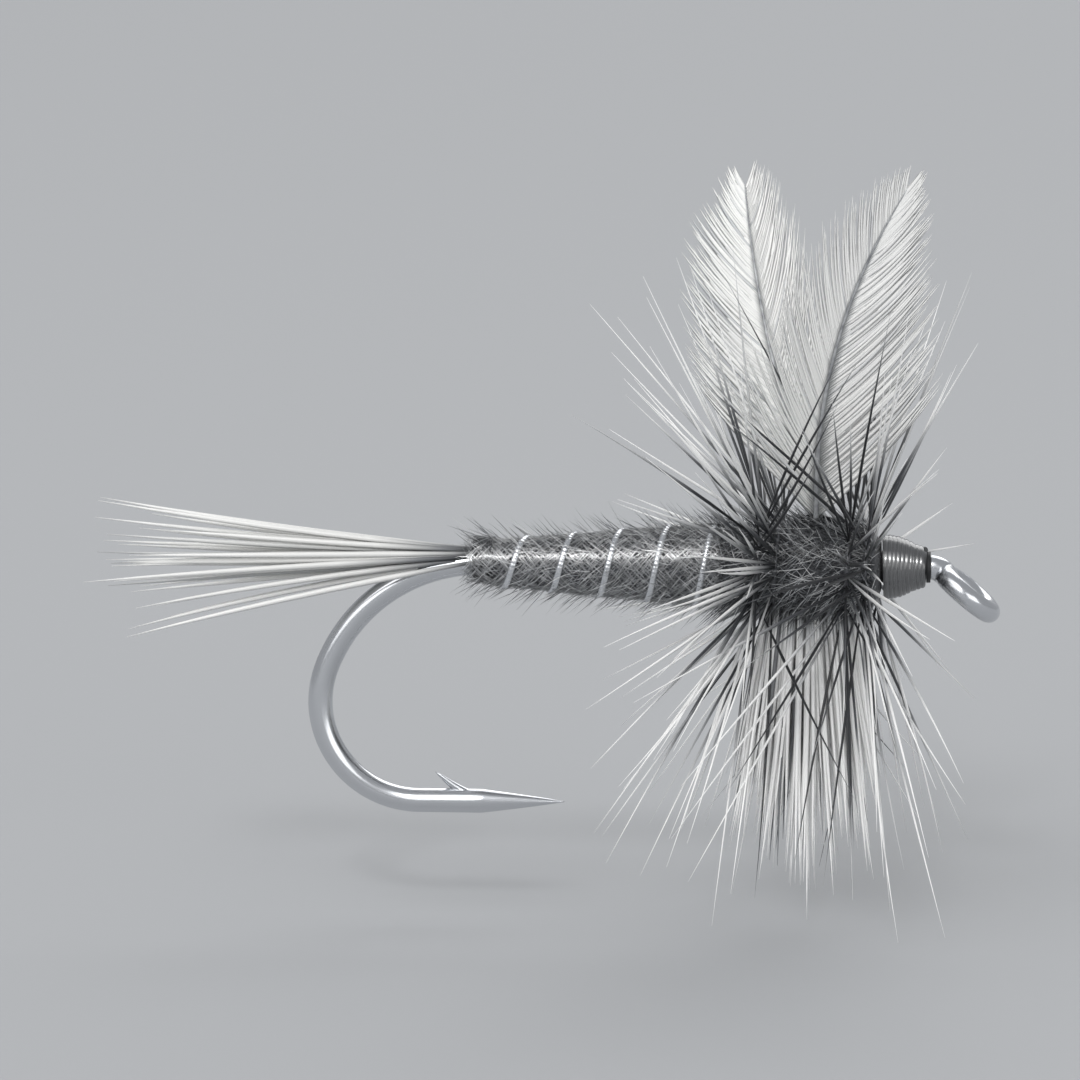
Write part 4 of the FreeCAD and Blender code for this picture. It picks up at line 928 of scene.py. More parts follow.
def fur_tree():
    """Hairs on a body round the shank. Slant is 0 round the body and 1 straight back along it."""
    tree, given = geometry_tree("Fur on a body", FUR_INPUTS)
    roots = add_node(tree, "GeometryNodeDistributePointsOnFaces", {
        "Mesh": given["Geometry"], "Density": given["Density"], "Seed": given["Seed"],
    })
    place = add_node(tree, "GeometryNodeInputPosition")
    axes = add_node(tree, "ShaderNodeSeparateXYZ", {"Vector": place}).node.outputs
    above = add_node(tree, MATH, {0: axes["Z"], 1: given["Shank Height"]}, operation="SUBTRACT")
    spoke = add_node(tree, "ShaderNodeCombineXYZ", {"Y": axes["Y"], "Z": above})
    radius = add_node(tree, VECTOR_MATH, {0: spoke}, operation="LENGTH")
    # roots on the closed ends lie near the axis, where a hair can't follow so tight a curve
    radius = add_node(tree, MATH, {0: radius, 1: TIGHTEST_CURVE}, operation="MAXIMUM")
    radial = add_node(tree, VECTOR_MATH, {0: spoke}, operation="NORMALIZE")
    around = add_node(tree, VECTOR_MATH, {0: radial, 1: (1, 0, 0)}, operation="CROSS_PRODUCT")
    random_of = scatter_values(tree, given["Seed"], ("way", "slant", "lift", "length", "curl"))
    way = add_node(tree, MATH, {0: random_of["way"]}, operation="SIGN")
    slant = add_node(tree, MATH, {
        0: random_of["slant"], 1: given["Slant Scatter"], 2: given["Slant"],
    }, operation="MULTIPLY_ADD")
    slant = add_node(tree, MATH, {0: slant, 1: math.pi / 2}, operation="MULTIPLY")
    round_share = add_node(tree, MATH, {0: slant}, operation="COSINE")
    back_share = add_node(tree, MATH, {0: slant}, operation="SINE")
    round_way = add_node(tree, MATH, {0: round_share, 1: way}, operation="MULTIPLY")
    lift = add_node(tree, MATH, {
        0: random_of["lift"], 1: given["Lift Scatter"], 2: given["Lift"],
    }, operation="MULTIPLY_ADD")
    heading = vector_sum(tree, [(around, round_way), ((-1, 0, 0), back_share), (radial, lift)])
    heading = add_node(tree, VECTOR_MATH, {0: heading}, operation="NORMALIZE")
    share = add_node(tree, MATH, {
        0: random_of["length"], 1: given["Length Scatter"], 2: 1.0,
    }, operation="MULTIPLY_ADD")
    length = add_node(tree, MATH, {0: given["Length"], 1: share}, operation="MULTIPLY")
    # a hair that follows the body falls away from its tangent by length squared over twice the radius
    run = add_node(tree, MATH, {0: length, 1: round_share}, operation="MULTIPLY")
    run = add_node(tree, MATH, {0: run, 1: 2.0}, operation="POWER")
    drop = add_node(tree, MATH, {0: run, 1: radius}, operation="DIVIDE")
    for factor in (-0.5, given["Hug"]):
        drop = add_node(tree, MATH, {0: drop, 1: factor}, operation="MULTIPLY")
    curl = random_of["curl"]
    for factor in (given["Curl"], length):
        curl = add_node(tree, MATH, {0: curl, 1: factor}, operation="MULTIPLY")
    bend = vector_sum(tree, [(radial, drop), (around, curl)])
    side = add_node(tree, VECTOR_MATH, {0: heading, 1: radial}, operation="CROSS_PRODUCT")
    side = add_node(tree, VECTOR_MATH, {0: side}, operation="NORMALIZE")
    hairs = add_node(tree, "GeometryNodeGroup", {
        "Geometry": roots, "Direction": heading, "Bend": bend, "Side": side, "Length": length,
        "Width": given["Width"], "Root Width": 0.8, "Belly": 0.3, "Sharpness": 2.0, "Sides": 3, "Rings": 5,
        "Seed": given["Seed"],
    }, node_tree=GROW_FIBRES)
    return end_tree(tree, hairs, given["Material"])


FUR = fur_tree()


def fur_on(name, core, settings):
    """Hairs grown on a copy of a core's mesh."""
    return keep_result(name, core.data.copy(), FUR, {
        "Shank Height": SHANK_Z, "Material": LAID_HAIR, **settings,
    })


# %% Hairs of the abdomen
# the dubbing starts on top of the tail lashing, so some of its hairs creep over that too
FUR_START = abdomen_low.x - 0.26 * MM
TAIL_SLOPE = 0.4 * MM
# over the lashing, the base rises by this much all round, and by this much more on top and less below
TAIL_RISE, TAIL_RISE_ABOVE = 0.03 * MM, 0.1 * MM
# the hairs' roots are sunk into the core
ROOT_DEPTH = 0.02 * MM


def fur_surface(station, angle):
    """Radius that the hairs grow from: the body's, which slopes up to the lashing on top of the tail."""
    over_tail = min(1.0, max(0.0, (abdomen_low.x + TAIL_SLOPE - station) / TAIL_SLOPE))
    rise = (TAIL_RISE + TAIL_RISE_ABOVE * math.cos(angle)) * over_tail
    return max(abdomen_radius(station), REAR_RADIUS) + rise - ROOT_DEPTH


fur_base = new_object("fur_base", turning(
    "fur_base", steps(FUR_START, abdomen_high.x, 60), fur_surface, 36,
))
underfur = fur_on("abdomen_underfur", fur_base, {
    "Density": 1.3e8, "Length": 0.55 * MM, "Slant": 0.48, "Slant Scatter": 0.08, "Lift": 0.05,
    "Lift Scatter": 0.05, "Hug": 0.97, "Width": 0.024 * MM, "Seed": 11,
})
finish_piece(underfur, "dubbing")
guard_hairs = fur_on("abdomen_guard_hairs_grown", fur_base, {
    "Density": 2.4e7, "Length": 0.7 * MM, "Slant": 0.9, "Slant Scatter": 0.25, "Lift": 0.7,
    "Lift Scatter": 0.4, "Hug": 0.3, "Curl": 0.4, "Width": 0.022 * MM, "Seed": 23,
})
finish_piece(guard_hairs, "dubbing", "abdomen_guard_hairs")
bpy.data.objects.remove(fur_base)

# %% [markdown]
# ## The rib
#
# Tinsel is wound forward over the body in open turns, against the lay of the fur, and it divides the body
# into segments. Separate rings would stand upright, and a wound strip slants, so it is one flat oval section
# swept along a conical coil. `outs` steers the section, so that its flat side always lies on the fur.

# %% Wind the rib
def coil(start, end, pitch, radius_at, per_turn):
    """Points and outward directions of a left-handed coil that starts below the shank and runs forward."""
    path, outs = [], []
    turns = (end - start) / pitch
    for turn in steps(0, turns, int(turns * per_turn) + 1):
        angle = math.tau * turn
        station = start + pitch * turn
        out = Vector((0, -math.sin(angle), -math.cos(angle)))
        outs.append(out)
        path.append(Vector((station, 0, SHANK_Z)) + out * radius_at(station))
    return path, outs


# the tinsel's middle lies just above the body
rib_path, rib_outs = coil(RIB_START, RIB_END, RIB_PITCH, lambda x: abdomen_radius(x) + 0.02 * MM, 48)
print("rib:", round((RIB_END - RIB_START) / RIB_PITCH, 1), "turns")
solid_piece("tinsel_rib", sweep(
    "tinsel_rib", rib_path, [RIB_WIDTH] * len(rib_path), 14, [RIB_THICKNESS] * len(rib_path), rib_outs
), SILVER_TINSEL, "silver_tinsel", "rib_tinsel")

# %% [markdown]
# ## The thorax
#
# The thorax is the same fur, over the roots of the wings, with a waist under each hackle. It has no rib, and
# its hairs are picked out, so it is a turning of its own with looser hairs, grown by the same tree.

# %% Core and hairs of the thorax
THORAX_WAIST = 0.95 * MM
THORAX_BULGE = thorax_high.z - SHANK_Z
HUMP_WIDTH, REAR_SLOPE = 0.45 * MM, 0.75 * MM
post_low, post_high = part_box("right_wing_post_wraps")
WING_STATION = (post_low.x + post_high.x) / 2


def thorax_radius(station):
    """Waisted profile: fullest under the wings, and again where it meets the abdomen."""
    hump = math.exp(-(((station - WING_STATION) / HUMP_WIDTH) ** 2))
    rear = min(1.0, max(0.0, (thorax_low.x + REAR_SLOPE - station) / REAR_SLOPE))
    return THORAX_WAIST + (THORAX_BULGE - THORAX_WAIST) * hump + (FRONT_RADIUS - THORAX_WAIST) * rear


thorax_core = solid_piece("thorax_core", turning(
    "thorax_core", steps(thorax_low.x, thorax_high.x, 110),
    fur_core(thorax_low.x, thorax_high.x, thorax_radius, 0.34 * MM, 0.03 * MM), 72,
), FUR_MASS, "dubbing", "thorax")
thorax_fur = fur_on("thorax_fur", thorax_core, {
    "Density": 9e7, "Length": 0.8 * MM, "Slant": 0.6, "Slant Scatter": 0.4, "Lift": 0.6, "Lift Scatter": 0.6,
    "Hug": 0.4, "Curl": 0.3, "Width": 0.028 * MM, "Seed": 31, "Material": LOOSE_HAIR,
})
finish_piece(thorax_fur, "dubbing")

# %% [markdown]
# ## The hackles
#
# A hackle is a whole feather wound edge on round the shank. Its stem takes two turns, and the barbs stand out
# from the stem all the way round, like spokes. The *hackle* tree shares the circle out into slots. The barbs
# of both hackles take turns in them, so none crosses another, and the slots where a wing or the throat stands
# stay empty.
#
# The first layer of barbs stands exactly as the CAD frame has it, with leans spread by the golden ratio. Each
# further layer fills in between by chance, with a few strays that lean far back or forward, as some always do
# on a real fly.
#
# The tree is built in parts, and `barb` carries what one part works out for each barb on to the next.

# %% Hackle: slots and roots
HACKLE_INPUTS = {
    "Layers": ("Int", 2), "Slots": ("Int", 50), "Slot Angle": ("Float", 3.6), "Parity": ("Int", 0),
    "Start": ("Float", 0.0), "Pitch": ("Float", 0.0004), "Turns": ("Int", 2), "Radius": ("Float", 0.001),
    "Shank Height": ("Float", 0.0), "Length": ("Float", 0.008), "Shorter": ("Float", 0.16),
    "Uneven": ("Float", 0.1), "Lean": ("Float", 0.0), "Lean Scatter": ("Float", 20.0),
    "Strays": ("Bool", False), "Stray Every": ("Int", 4), "Stray Lean": ("Float", 52.0),
    "Stray Back": ("Float", 45.0), "Stray Ahead": ("Float", 25.0),
    "Furthest Back": ("Float", -0.0093), "Furthest Ahead": ("Float", 0.0005),
    "Wing Angle": ("Float", 20.0), "Wing Gap": ("Float", 7.0), "Throat Angle": ("Float", 15.0),
    "Wing Cover": ("Float", 0.15), "Cover Ends": ("Float", 35.0),
    "Dark Station": ("Float", -0.0036), "Dark Reach": ("Float", 0.0012), "Curl": ("Float", 0.05),
    "Width": ("Float", 0.0001), "Seed": ("Int", 0), "Material": ("Material", None),
}


def hackle_slots(tree, given, barb):
    """Each barb's slot, its angle round the shank from straight down, and the slots that stay empty."""
    index = add_node(tree, "GeometryNodeInputIndex")
    barb.slot = add_node(tree, MATH, {0: index, 1: given["Slots"]}, operation="MODULO")
    barb.number = add_node(tree, MATH, {0: barb.slot, 1: 2.0, 2: given["Parity"]}, operation="MULTIPLY_ADD")
    layer = add_node(tree, MATH, {0: index, 1: given["Slots"]}, operation="DIVIDE")
    layer = add_node(tree, MATH, {0: layer}, operation="FLOOR")
    # 0 on the first layer and 1 on the others, and the other way round
    barb.extra = add_node(tree, MATH, {0: layer, 1: 1.0}, operation="MINIMUM")
    barb.first = add_node(tree, MATH, {0: 1.0, 1: barb.extra}, operation="SUBTRACT")
    aside = add_node(tree, MATH, {0: barb.random["angle"], 1: barb.extra}, operation="MULTIPLY")
    number_aside = add_node(tree, MATH, {0: barb.number, 1: aside}, operation="ADD")
    barb.angle = add_node(tree, MATH, {0: number_aside, 1: given["Slot Angle"]}, operation="MULTIPLY")
    from_top = add_node(tree, MATH, {0: barb.angle, 1: 180.0}, operation="SUBTRACT")
    from_top = add_node(tree, MATH, {0: from_top}, operation="ABSOLUTE")
    from_wing = add_node(tree, MATH, {0: from_top, 1: given["Wing Angle"]}, operation="SUBTRACT")
    barb.from_wing = add_node(tree, MATH, {0: from_wing}, operation="ABSOLUTE")
    off_wing = add_node(tree, MATH, {0: barb.from_wing, 1: given["Wing Gap"]}, operation="GREATER_THAN")
    throat_starts = add_node(tree, MATH, {0: 180.0, 1: given["Throat Angle"]}, operation="SUBTRACT")
    off_throat = add_node(tree, MATH, {0: from_top, 1: throat_starts}, operation="LESS_THAN")
    barb.keep = add_node(tree, MATH, {0: off_wing, 1: off_throat}, operation="MULTIPLY")


def hackle_roots(tree, given, barb, points):
    """Puts each root on the stem, which winds forward as it goes round."""
    turn = add_node(tree, MATH, {0: barb.slot, 1: given["Turns"]}, operation="MODULO")
    turn = add_node(tree, MATH, {0: barb.angle, 1: 1 / 360, 2: turn}, operation="MULTIPLY_ADD")
    barb.station = add_node(tree, MATH, {
        0: turn, 1: given["Pitch"], 2: given["Start"],
    }, operation="MULTIPLY_ADD")
    radians = add_node(tree, MATH, {0: barb.angle}, operation="RADIANS")
    sine = add_node(tree, MATH, {0: radians}, operation="SINE")
    barb.cosine = add_node(tree, MATH, {0: radians}, operation="COSINE")
    inwards = add_node(tree, "ShaderNodeCombineXYZ", {"Y": sine, "Z": barb.cosine})
    barb.radial = add_node(tree, VECTOR_MATH, {0: inwards, "Scale": -1.0}, operation="SCALE")
    barb.around = add_node(tree, VECTOR_MATH, {0: barb.radial, 1: (1, 0, 0)}, operation="CROSS_PRODUCT")
    axis = add_node(tree, "ShaderNodeCombineXYZ", {"X": barb.station, "Z": given["Shank Height"]})
    place = vector_sum(tree, [(axis, 1.0), (barb.radial, given["Radius"])])
    return add_node(tree, "GeometryNodeSetPosition", {"Geometry": points, "Position": place})


# %% Hackle: leans
def hackle_heading(tree, given, barb):
    """Which way each barb points: golden leans on the first layer, and leans by chance on the others."""
    barb.golden = add_node(tree, MATH, {0: barb.number, 1: GOLDEN}, operation="MULTIPLY")
    golden = add_node(tree, MATH, {0: barb.golden}, operation="FRACT")
    even = add_node(tree, MATH, {0: golden, 1: 2.0, 2: -1.0}, operation="MULTIPLY_ADD")
    for factor in (given["Lean Scatter"], barb.first):
        even = add_node(tree, MATH, {0: even, 1: factor}, operation="MULTIPLY")
    back = add_node(tree, MATH, {0: given["Stray Back"], 1: -1.0}, operation="MULTIPLY")
    stray = add_node(tree, "ShaderNodeMapRange", {
        "Value": barb.random["lean"], "From Min": -1.0, "To Min": back, "To Max": given["Stray Ahead"],
    })
    # a chance that is multiplied by its own size gives small leans more often than large ones
    size = add_node(tree, MATH, {0: barb.random["lean"]}, operation="ABSOLUTE")
    # strays lie above and below the body, where the fibres have room, more than across its sides, where
    # they lean six tenths as far
    upright = add_node(tree, MATH, {0: barb.cosine}, operation="ABSOLUTE")
    roomy = add_node(tree, MATH, {0: upright, 1: 0.4, 2: 0.6}, operation="MULTIPLY_ADD")
    for factor in (size, roomy, barb.extra):
        stray = add_node(tree, MATH, {0: stray, 1: factor}, operation="MULTIPLY")
    lean = given["Lean"]
    for part in (even, stray):
        lean = add_node(tree, MATH, {0: lean, 1: part}, operation="ADD")
    # one barb in so many of the first layer leans far back, if it stands within 60 degrees of upright
    has_room = add_node(tree, MATH, {0: upright, 1: 0.5}, operation="GREATER_THAN")
    turn_comes = add_node(tree, MATH, {0: barb.slot, 1: given["Stray Every"]}, operation="MODULO")
    turn_comes = add_node(tree, MATH, {0: turn_comes, 1: 0.5}, operation="LESS_THAN")
    far_back = turn_comes
    for condition in (has_room, barb.first, given["Strays"]):
        far_back = add_node(tree, MATH, {0: far_back, 1: condition}, operation="MULTIPLY")
    far = add_node(tree, MATH, {0: golden, 1: 0.5, 2: -1.0}, operation="MULTIPLY_ADD")
    far = add_node(tree, MATH, {0: far, 1: given["Stray Lean"]}, operation="MULTIPLY")
    lean = add_node(tree, "ShaderNodeMix", {"Factor": far_back, "A": lean, "B": far}, data_type="FLOAT")
    lean = add_node(tree, MATH, {0: lean}, operation="RADIANS")
    outwards = add_node(tree, MATH, {0: lean}, operation="COSINE")
    barb.forward = add_node(tree, MATH, {0: lean}, operation="SINE")
    return vector_sum(tree, [(barb.radial, outwards), ((1, 0, 0), barb.forward)])


# %% Hackle: lengths
def hackle_lengths(tree, given, barb):
    """How long each barb is: longest straight down, and a little uneven from barb to barb."""
    longer = add_node(tree, MATH, {0: barb.cosine, 1: given["Uneven"], 2: 1.0}, operation="MULTIPLY_ADD")
    # by the golden ratio again, out of step with the leans, and on the extra layers by chance as well
    shorter = add_node(tree, MATH, {0: barb.golden, 1: 0.4}, operation="ADD")
    shorter = add_node(tree, MATH, {0: shorter}, operation="FRACT")
    chance = add_node(tree, MATH, {0: barb.random["length"]}, operation="ABSOLUTE")
    shorter = add_node(tree, MATH, {0: chance, 1: barb.extra, 2: shorter}, operation="MULTIPLY_ADD")
    shorter = add_node(tree, MATH, {0: shorter, 1: given["Shorter"]}, operation="MULTIPLY")
    share = add_node(tree, MATH, {0: 1.0, 1: shorter}, operation="SUBTRACT")
    # the barbs of the extra layers that stand beside a wing are longer than the others of the upper side
    beside = add_node(tree, "ShaderNodeMapRange", {
        "Value": barb.from_wing, "From Min": given["Wing Gap"], "From Max": given["Cover Ends"],
        "To Min": 1.0, "To Max": 0.0,
    })
    beside = add_node(tree, MATH, {0: beside, 1: barb.extra}, operation="MULTIPLY")
    cover = add_node(tree, MATH, {0: beside, 1: given["Wing Cover"], 2: 1.0}, operation="MULTIPLY_ADD")
    length = given["Length"]
    for factor in (share, longer, cover):
        length = add_node(tree, MATH, {0: length, 1: factor}, operation="MULTIPLY")
    # the barbs that stray furthest come from the foot of the feather, where they are shorter, so the
    # brush has a furthest reach back and ahead
    goes_back = add_node(tree, MATH, {0: barb.forward, 1: 0.0}, operation="LESS_THAN")
    limit = add_node(tree, "ShaderNodeMix", {
        "Factor": goes_back, "A": given["Furthest Ahead"], "B": given["Furthest Back"],
    }, data_type="FLOAT")
    room = add_node(tree, MATH, {0: limit, 1: barb.station}, operation="SUBTRACT")
    room = add_node(tree, MATH, {0: room, 1: barb.forward}, operation="DIVIDE")
    uneven = add_node(tree, MATH, {0: chance, 1: -0.12, 2: 1.0}, operation="MULTIPLY_ADD")
    room = add_node(tree, MATH, {0: room, 1: uneven}, operation="MULTIPLY")
    return add_node(tree, MATH, {0: length, 1: room}, operation="MINIMUM")


# %% The hackle tree
def hackle_tree():
    """Barbs that stand out from a wound stem, in slots shared out round the shank."""
    tree, given = geometry_tree("Wound hackle", HACKLE_INPUTS)
    many = add_node(tree, MATH, {0: given["Layers"], 1: given["Slots"]}, operation="MULTIPLY")
    points = add_node(tree, "GeometryNodePoints", {"Count": many})
    draws = scatter_values(tree, given["Seed"], ("angle", "lean", "length", "curl", "curl aside"))
    barb = SimpleNamespace(random=draws)
    hackle_slots(tree, given, barb)
    roots = hackle_roots(tree, given, barb, points)
    heading = hackle_heading(tree, given, barb)
    length = hackle_lengths(tree, given, barb)

    # the barbs that stand across the wings and the throat are dark for most of their length: their tones
    # are drawn from -1 to 0.1, by where the middle of the part in sight stands
    run = add_node(tree, MATH, {0: length, 1: barb.forward}, operation="MULTIPLY")
    middle = add_node(tree, MATH, {0: run, 1: 0.6, 2: barb.station}, operation="MULTIPLY_ADD")
    off = add_node(tree, MATH, {0: middle, 1: given["Dark Station"]}, operation="SUBTRACT")
    off = add_node(tree, MATH, {0: off}, operation="ABSOLUTE")
    across = add_node(tree, MATH, {0: off, 1: given["Dark Reach"]}, operation="LESS_THAN")
    darkest = add_node(tree, MATH, {0: across, 1: -1.0}, operation="MULTIPLY")
    palest = add_node(tree, MATH, {0: across, 1: -0.9, 2: 1.0}, operation="MULTIPLY_ADD")

    # the first layer is the straightest
    loose = add_node(tree, MATH, {0: barb.extra, 1: 0.7, 2: 0.3}, operation="MULTIPLY_ADD")
    curl = length
    for factor in (given["Curl"], loose):
        curl = add_node(tree, MATH, {0: curl, 1: factor}, operation="MULTIPLY")
    ahead = add_node(tree, MATH, {0: curl, 1: draws["curl"]}, operation="MULTIPLY")
    aside = add_node(tree, MATH, {0: curl, 1: draws["curl aside"]}, operation="MULTIPLY")
    bend = vector_sum(tree, [((1, 0, 0), ahead), (barb.around, aside)])
    barbs = add_node(tree, "GeometryNodeGroup", {
        "Geometry": roots, "Direction": heading, "Bend": bend, "Side": barb.around, "Length": length,
        "Width": given["Width"], "Flatness": 0.75, "Root Width": 0.4, "Belly": 0.35, "Sharpness": 1.7,
        "Keep": barb.keep, "Darkest": darkest, "Palest": palest, "Seed": given["Seed"],
    }, node_tree=GROW_FIBRES)
    return end_tree(tree, barbs, given["Material"])


HACKLE = hackle_tree()

# %% Wind both hackles
STEM_WIDTH, STEM_TIP = 0.16 * MM, 0.112 * MM
WING_SPREAD = 20.0
HACKLE_TURNS = 2
# the rear hackle leans back and the front one a little forward; both stray over the wings between them
HACKLES = {
    "rear": {
        "Parity": 1, "Lean": -18.0, "Stray Back": 42.0, "Stray Ahead": 56.0, "Strays": False, "Seed": 41,
    },
    "front": {"Parity": 0, "Lean": 6.0, "Stray Back": 66.0, "Stray Ahead": 24.0, "Strays": True, "Seed": 57},
}
for which, manner in HACKLES.items():
    stem_low, stem_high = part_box(f"{which}_hackle_stem")
    stem_radius = stem_high.z - SHANK_Z - STEM_WIDTH / 2
    start, end = stem_low.x + STEM_WIDTH / 2, stem_high.x - STEM_WIDTH / 2
    pitch = (end - start) / HACKLE_TURNS
    path, outs = coil(start, end, pitch, lambda x: stem_radius, 40)
    widths = steps(STEM_WIDTH, STEM_TIP, len(path))
    stem = sweep(f"{which}_stem", path, widths, 12, outs=outs)
    solid_piece(f"{which}_stem", stem, HACKLE_HORN, "wing_quill", f"{which}_hackle_stem")
    grown = keep_result(f"{which}_barbs", empty_start.copy(), HACKLE, {
        **manner, "Layers": 3, "Start": start, "Pitch": pitch, "Turns": HACKLE_TURNS,
        "Radius": stem_radius + STEM_WIDTH / 4, "Shank Height": SHANK_Z, "Length": 7.95 * MM,
        "Wing Angle": WING_SPREAD, "Width": 0.125 * MM, "Material": BADGER_HACKLE,
        "Dark Station": WING_STATION, "Dark Reach": 1.5 * MM,
    })
    finish_piece(grown, "hackle_fibre", f"{which}_hackle_barbs")


# %% [markdown]
# ## The throat
#
# Below the wings the fibres are bound much closer, as a beard of pale barbs with ragged ends. Spokes in slots
# would leave it thin, so it is a bunch as the tail is, but it hangs straight down and has clumps.

# %% Grow the throat
throat_low, throat_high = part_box("throat_fibres")
# the roots are buried in the thorax, above the part that shows
THROAT_BURIED = 0.25 * MM
# longer than the throat's box, because chance shortens nearly every fibre
THROAT_LENGTH = throat_high.z - throat_low.z + 1.0 * MM
throat = keep_result("throat", empty_start.copy(), BUNCH, {
    "Fibres": 330, "Origin": (WING_STATION - 0.2 * MM, 0, throat_high.z + THROAT_BURIED),
    "Axis": (0, 0, -1), "Across": (1, 0, 0), "Up": (0, 1, 0),
    "Half Width": 1.05 * MM, "Half Height": 0.35 * MM,
    "Spread Across": 0.17, "Spread Up": 0.2, "Length": THROAT_LENGTH, "Length Scatter": 0.3,
    "Shorter Sides": 0.2, "Clumps": 7.0, "Clump": 0.22, "Curl": 0.035,
    "Width": 0.12 * MM, "Sharpness": 2.6, "Seed": 73, "Material": THROAT_HACKLE,
})
finish_piece(throat, "hackle_fibre", "throat_fibres")

# %% [markdown]
# ## The wings
#
# Each wing is the tip of a broad soft feather: a curved quill with a vane on both edges, one broad and one
# narrow. The wings stand in planes that lean outwards from the shank. The right one curves forward and the
# left one back.
#
# The *vane* tree follows the quill. Each barb leaves it at an angle that closes towards the tip, bends up
# along it, and lies flat in the wing's own plane. Barbs are nearly as wide as the space between them, so
# they make a web with fine lines in it, and their ends fray.

# %% Quills
QUILL_WIDTH, QUILL_TIP = 0.16 * MM, 0.03 * MM
# the left butt is trimmed this far behind the wing, and the right one where its box ends
LEFT_BUTT = 1.97 * MM
# the quill ends this share of the way up, inside the web
QUILL_SHOWN = 0.97


class Wing:
    """The plane and the curved quill of one wing."""

    def __init__(self, side):
        self.side = side
        sign = -1 if side == "right" else 1
        spread = math.radians(WING_SPREAD)
        self.up = Vector((0, sign * math.sin(spread), math.cos(spread)))
        self.normal = Vector((0, sign * math.cos(spread), -math.sin(spread)))
        self.foot = Vector((WING_STATION, 0, SHANK_Z))
        low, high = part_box(f"{side}_wing_quill")
        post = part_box(f"{side}_wing_post_wraps")
        tip = Vector((high.x if side == "right" else low.x, 0, high.z))
        self.length = (tip.z - SHANK_Z) / self.up.z
        self.lean = tip.x - WING_STATION
        self.root_height = (post[0].z - SHANK_Z) / self.up.z
        post_top = (post[1].z - SHANK_Z) / self.up.z
        self.post_share = (post_top - self.root_height) / (self.length - self.root_height)

    def point(self, share):
        """Centre of the quill at a share of the way from its elbow to its tip."""
        free = max(0.0, (share - self.post_share) / (1 - self.post_share))
        # the right wing curves more and more towards its tip, and the left one less and less
        law = free**2.3 if self.side == "right" else free * (1.6 - 0.6 * free)
        rise = self.root_height + (self.length - self.root_height) * share
        return self.foot + self.up * rise + Vector((self.lean * law, 0, 0))

    def butt(self):
        """Points of the trimmed butt along the shank and of the elbow up to the post."""
        seat = THREAD_RADIUS + QUILL_WIDTH / 2
        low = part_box(f"{self.side}_wing_quill")[0]
        under_wing = self.foot + self.up * seat
        back = under_wing.x - (low.x if self.side == "right" else WING_STATION - LEFT_BUTT)
        bend = self.root_height - seat
        points = [under_wing - Vector((share * (back - bend) + bend, 0, 0)) for share in steps(1, 0, 6)]
        elbow = under_wing - Vector((bend, 0, 0))
        for turn in steps(0, math.pi / 2, 8)[1:]:
            ahead = Vector((bend * math.sin(turn), 0, 0))
            points.append(elbow + self.up * bend * (1 - math.cos(turn)) + ahead)
        return points


WINGS = {side: Wing(side) for side in ("right", "left")}
for side, wing in WINGS.items():
    path = wing.butt() + [wing.point(share) for share in steps(0, QUILL_SHOWN, 60)[1:]]
    widths = steps(QUILL_WIDTH, QUILL_TIP, len(path))
    outs = [wing.normal] * len(path)
    quill = sweep(f"{side}_quill", path, widths, 12, outs=outs)
    solid_piece(f"{side}_quill", quill, QUILL_HORN, "wing_quill", f"{side}_wing_quill")


# %% Vane: angles and chords
VANE_INPUTS = {
    "Barbs": ("Int", 80), "Blade Up": ("Vector", None), "Blade Normal": ("Vector", None),
    "Edge": ("Float", 1.0), "First": ("Float", 0.1), "Last": ("Float", 0.95), "Length": ("Float", 0.004),
    "Angle": ("Float", 38.0), "Angle Scatter": ("Float", 1.0), "Tip Angle": ("Float", 25.0),
    "Closes": ("Float", 0.5), "Foot Opening": ("Float", 0.0), "Opens": ("Float", 0.3),
    "Clump": ("Float", 2.5), "Follow": ("Float", 1.0), "Fade": ("Float", 0.9), "Fray": ("Float", 0.12),
    "Bow": ("Float", 0.1), "Cup": ("Float", 8.0), "Shingle": ("Float", 0.3), "Width": ("Float", 0.00008),
    "Seed": ("Int", 0), "Material": ("Material", None),
}


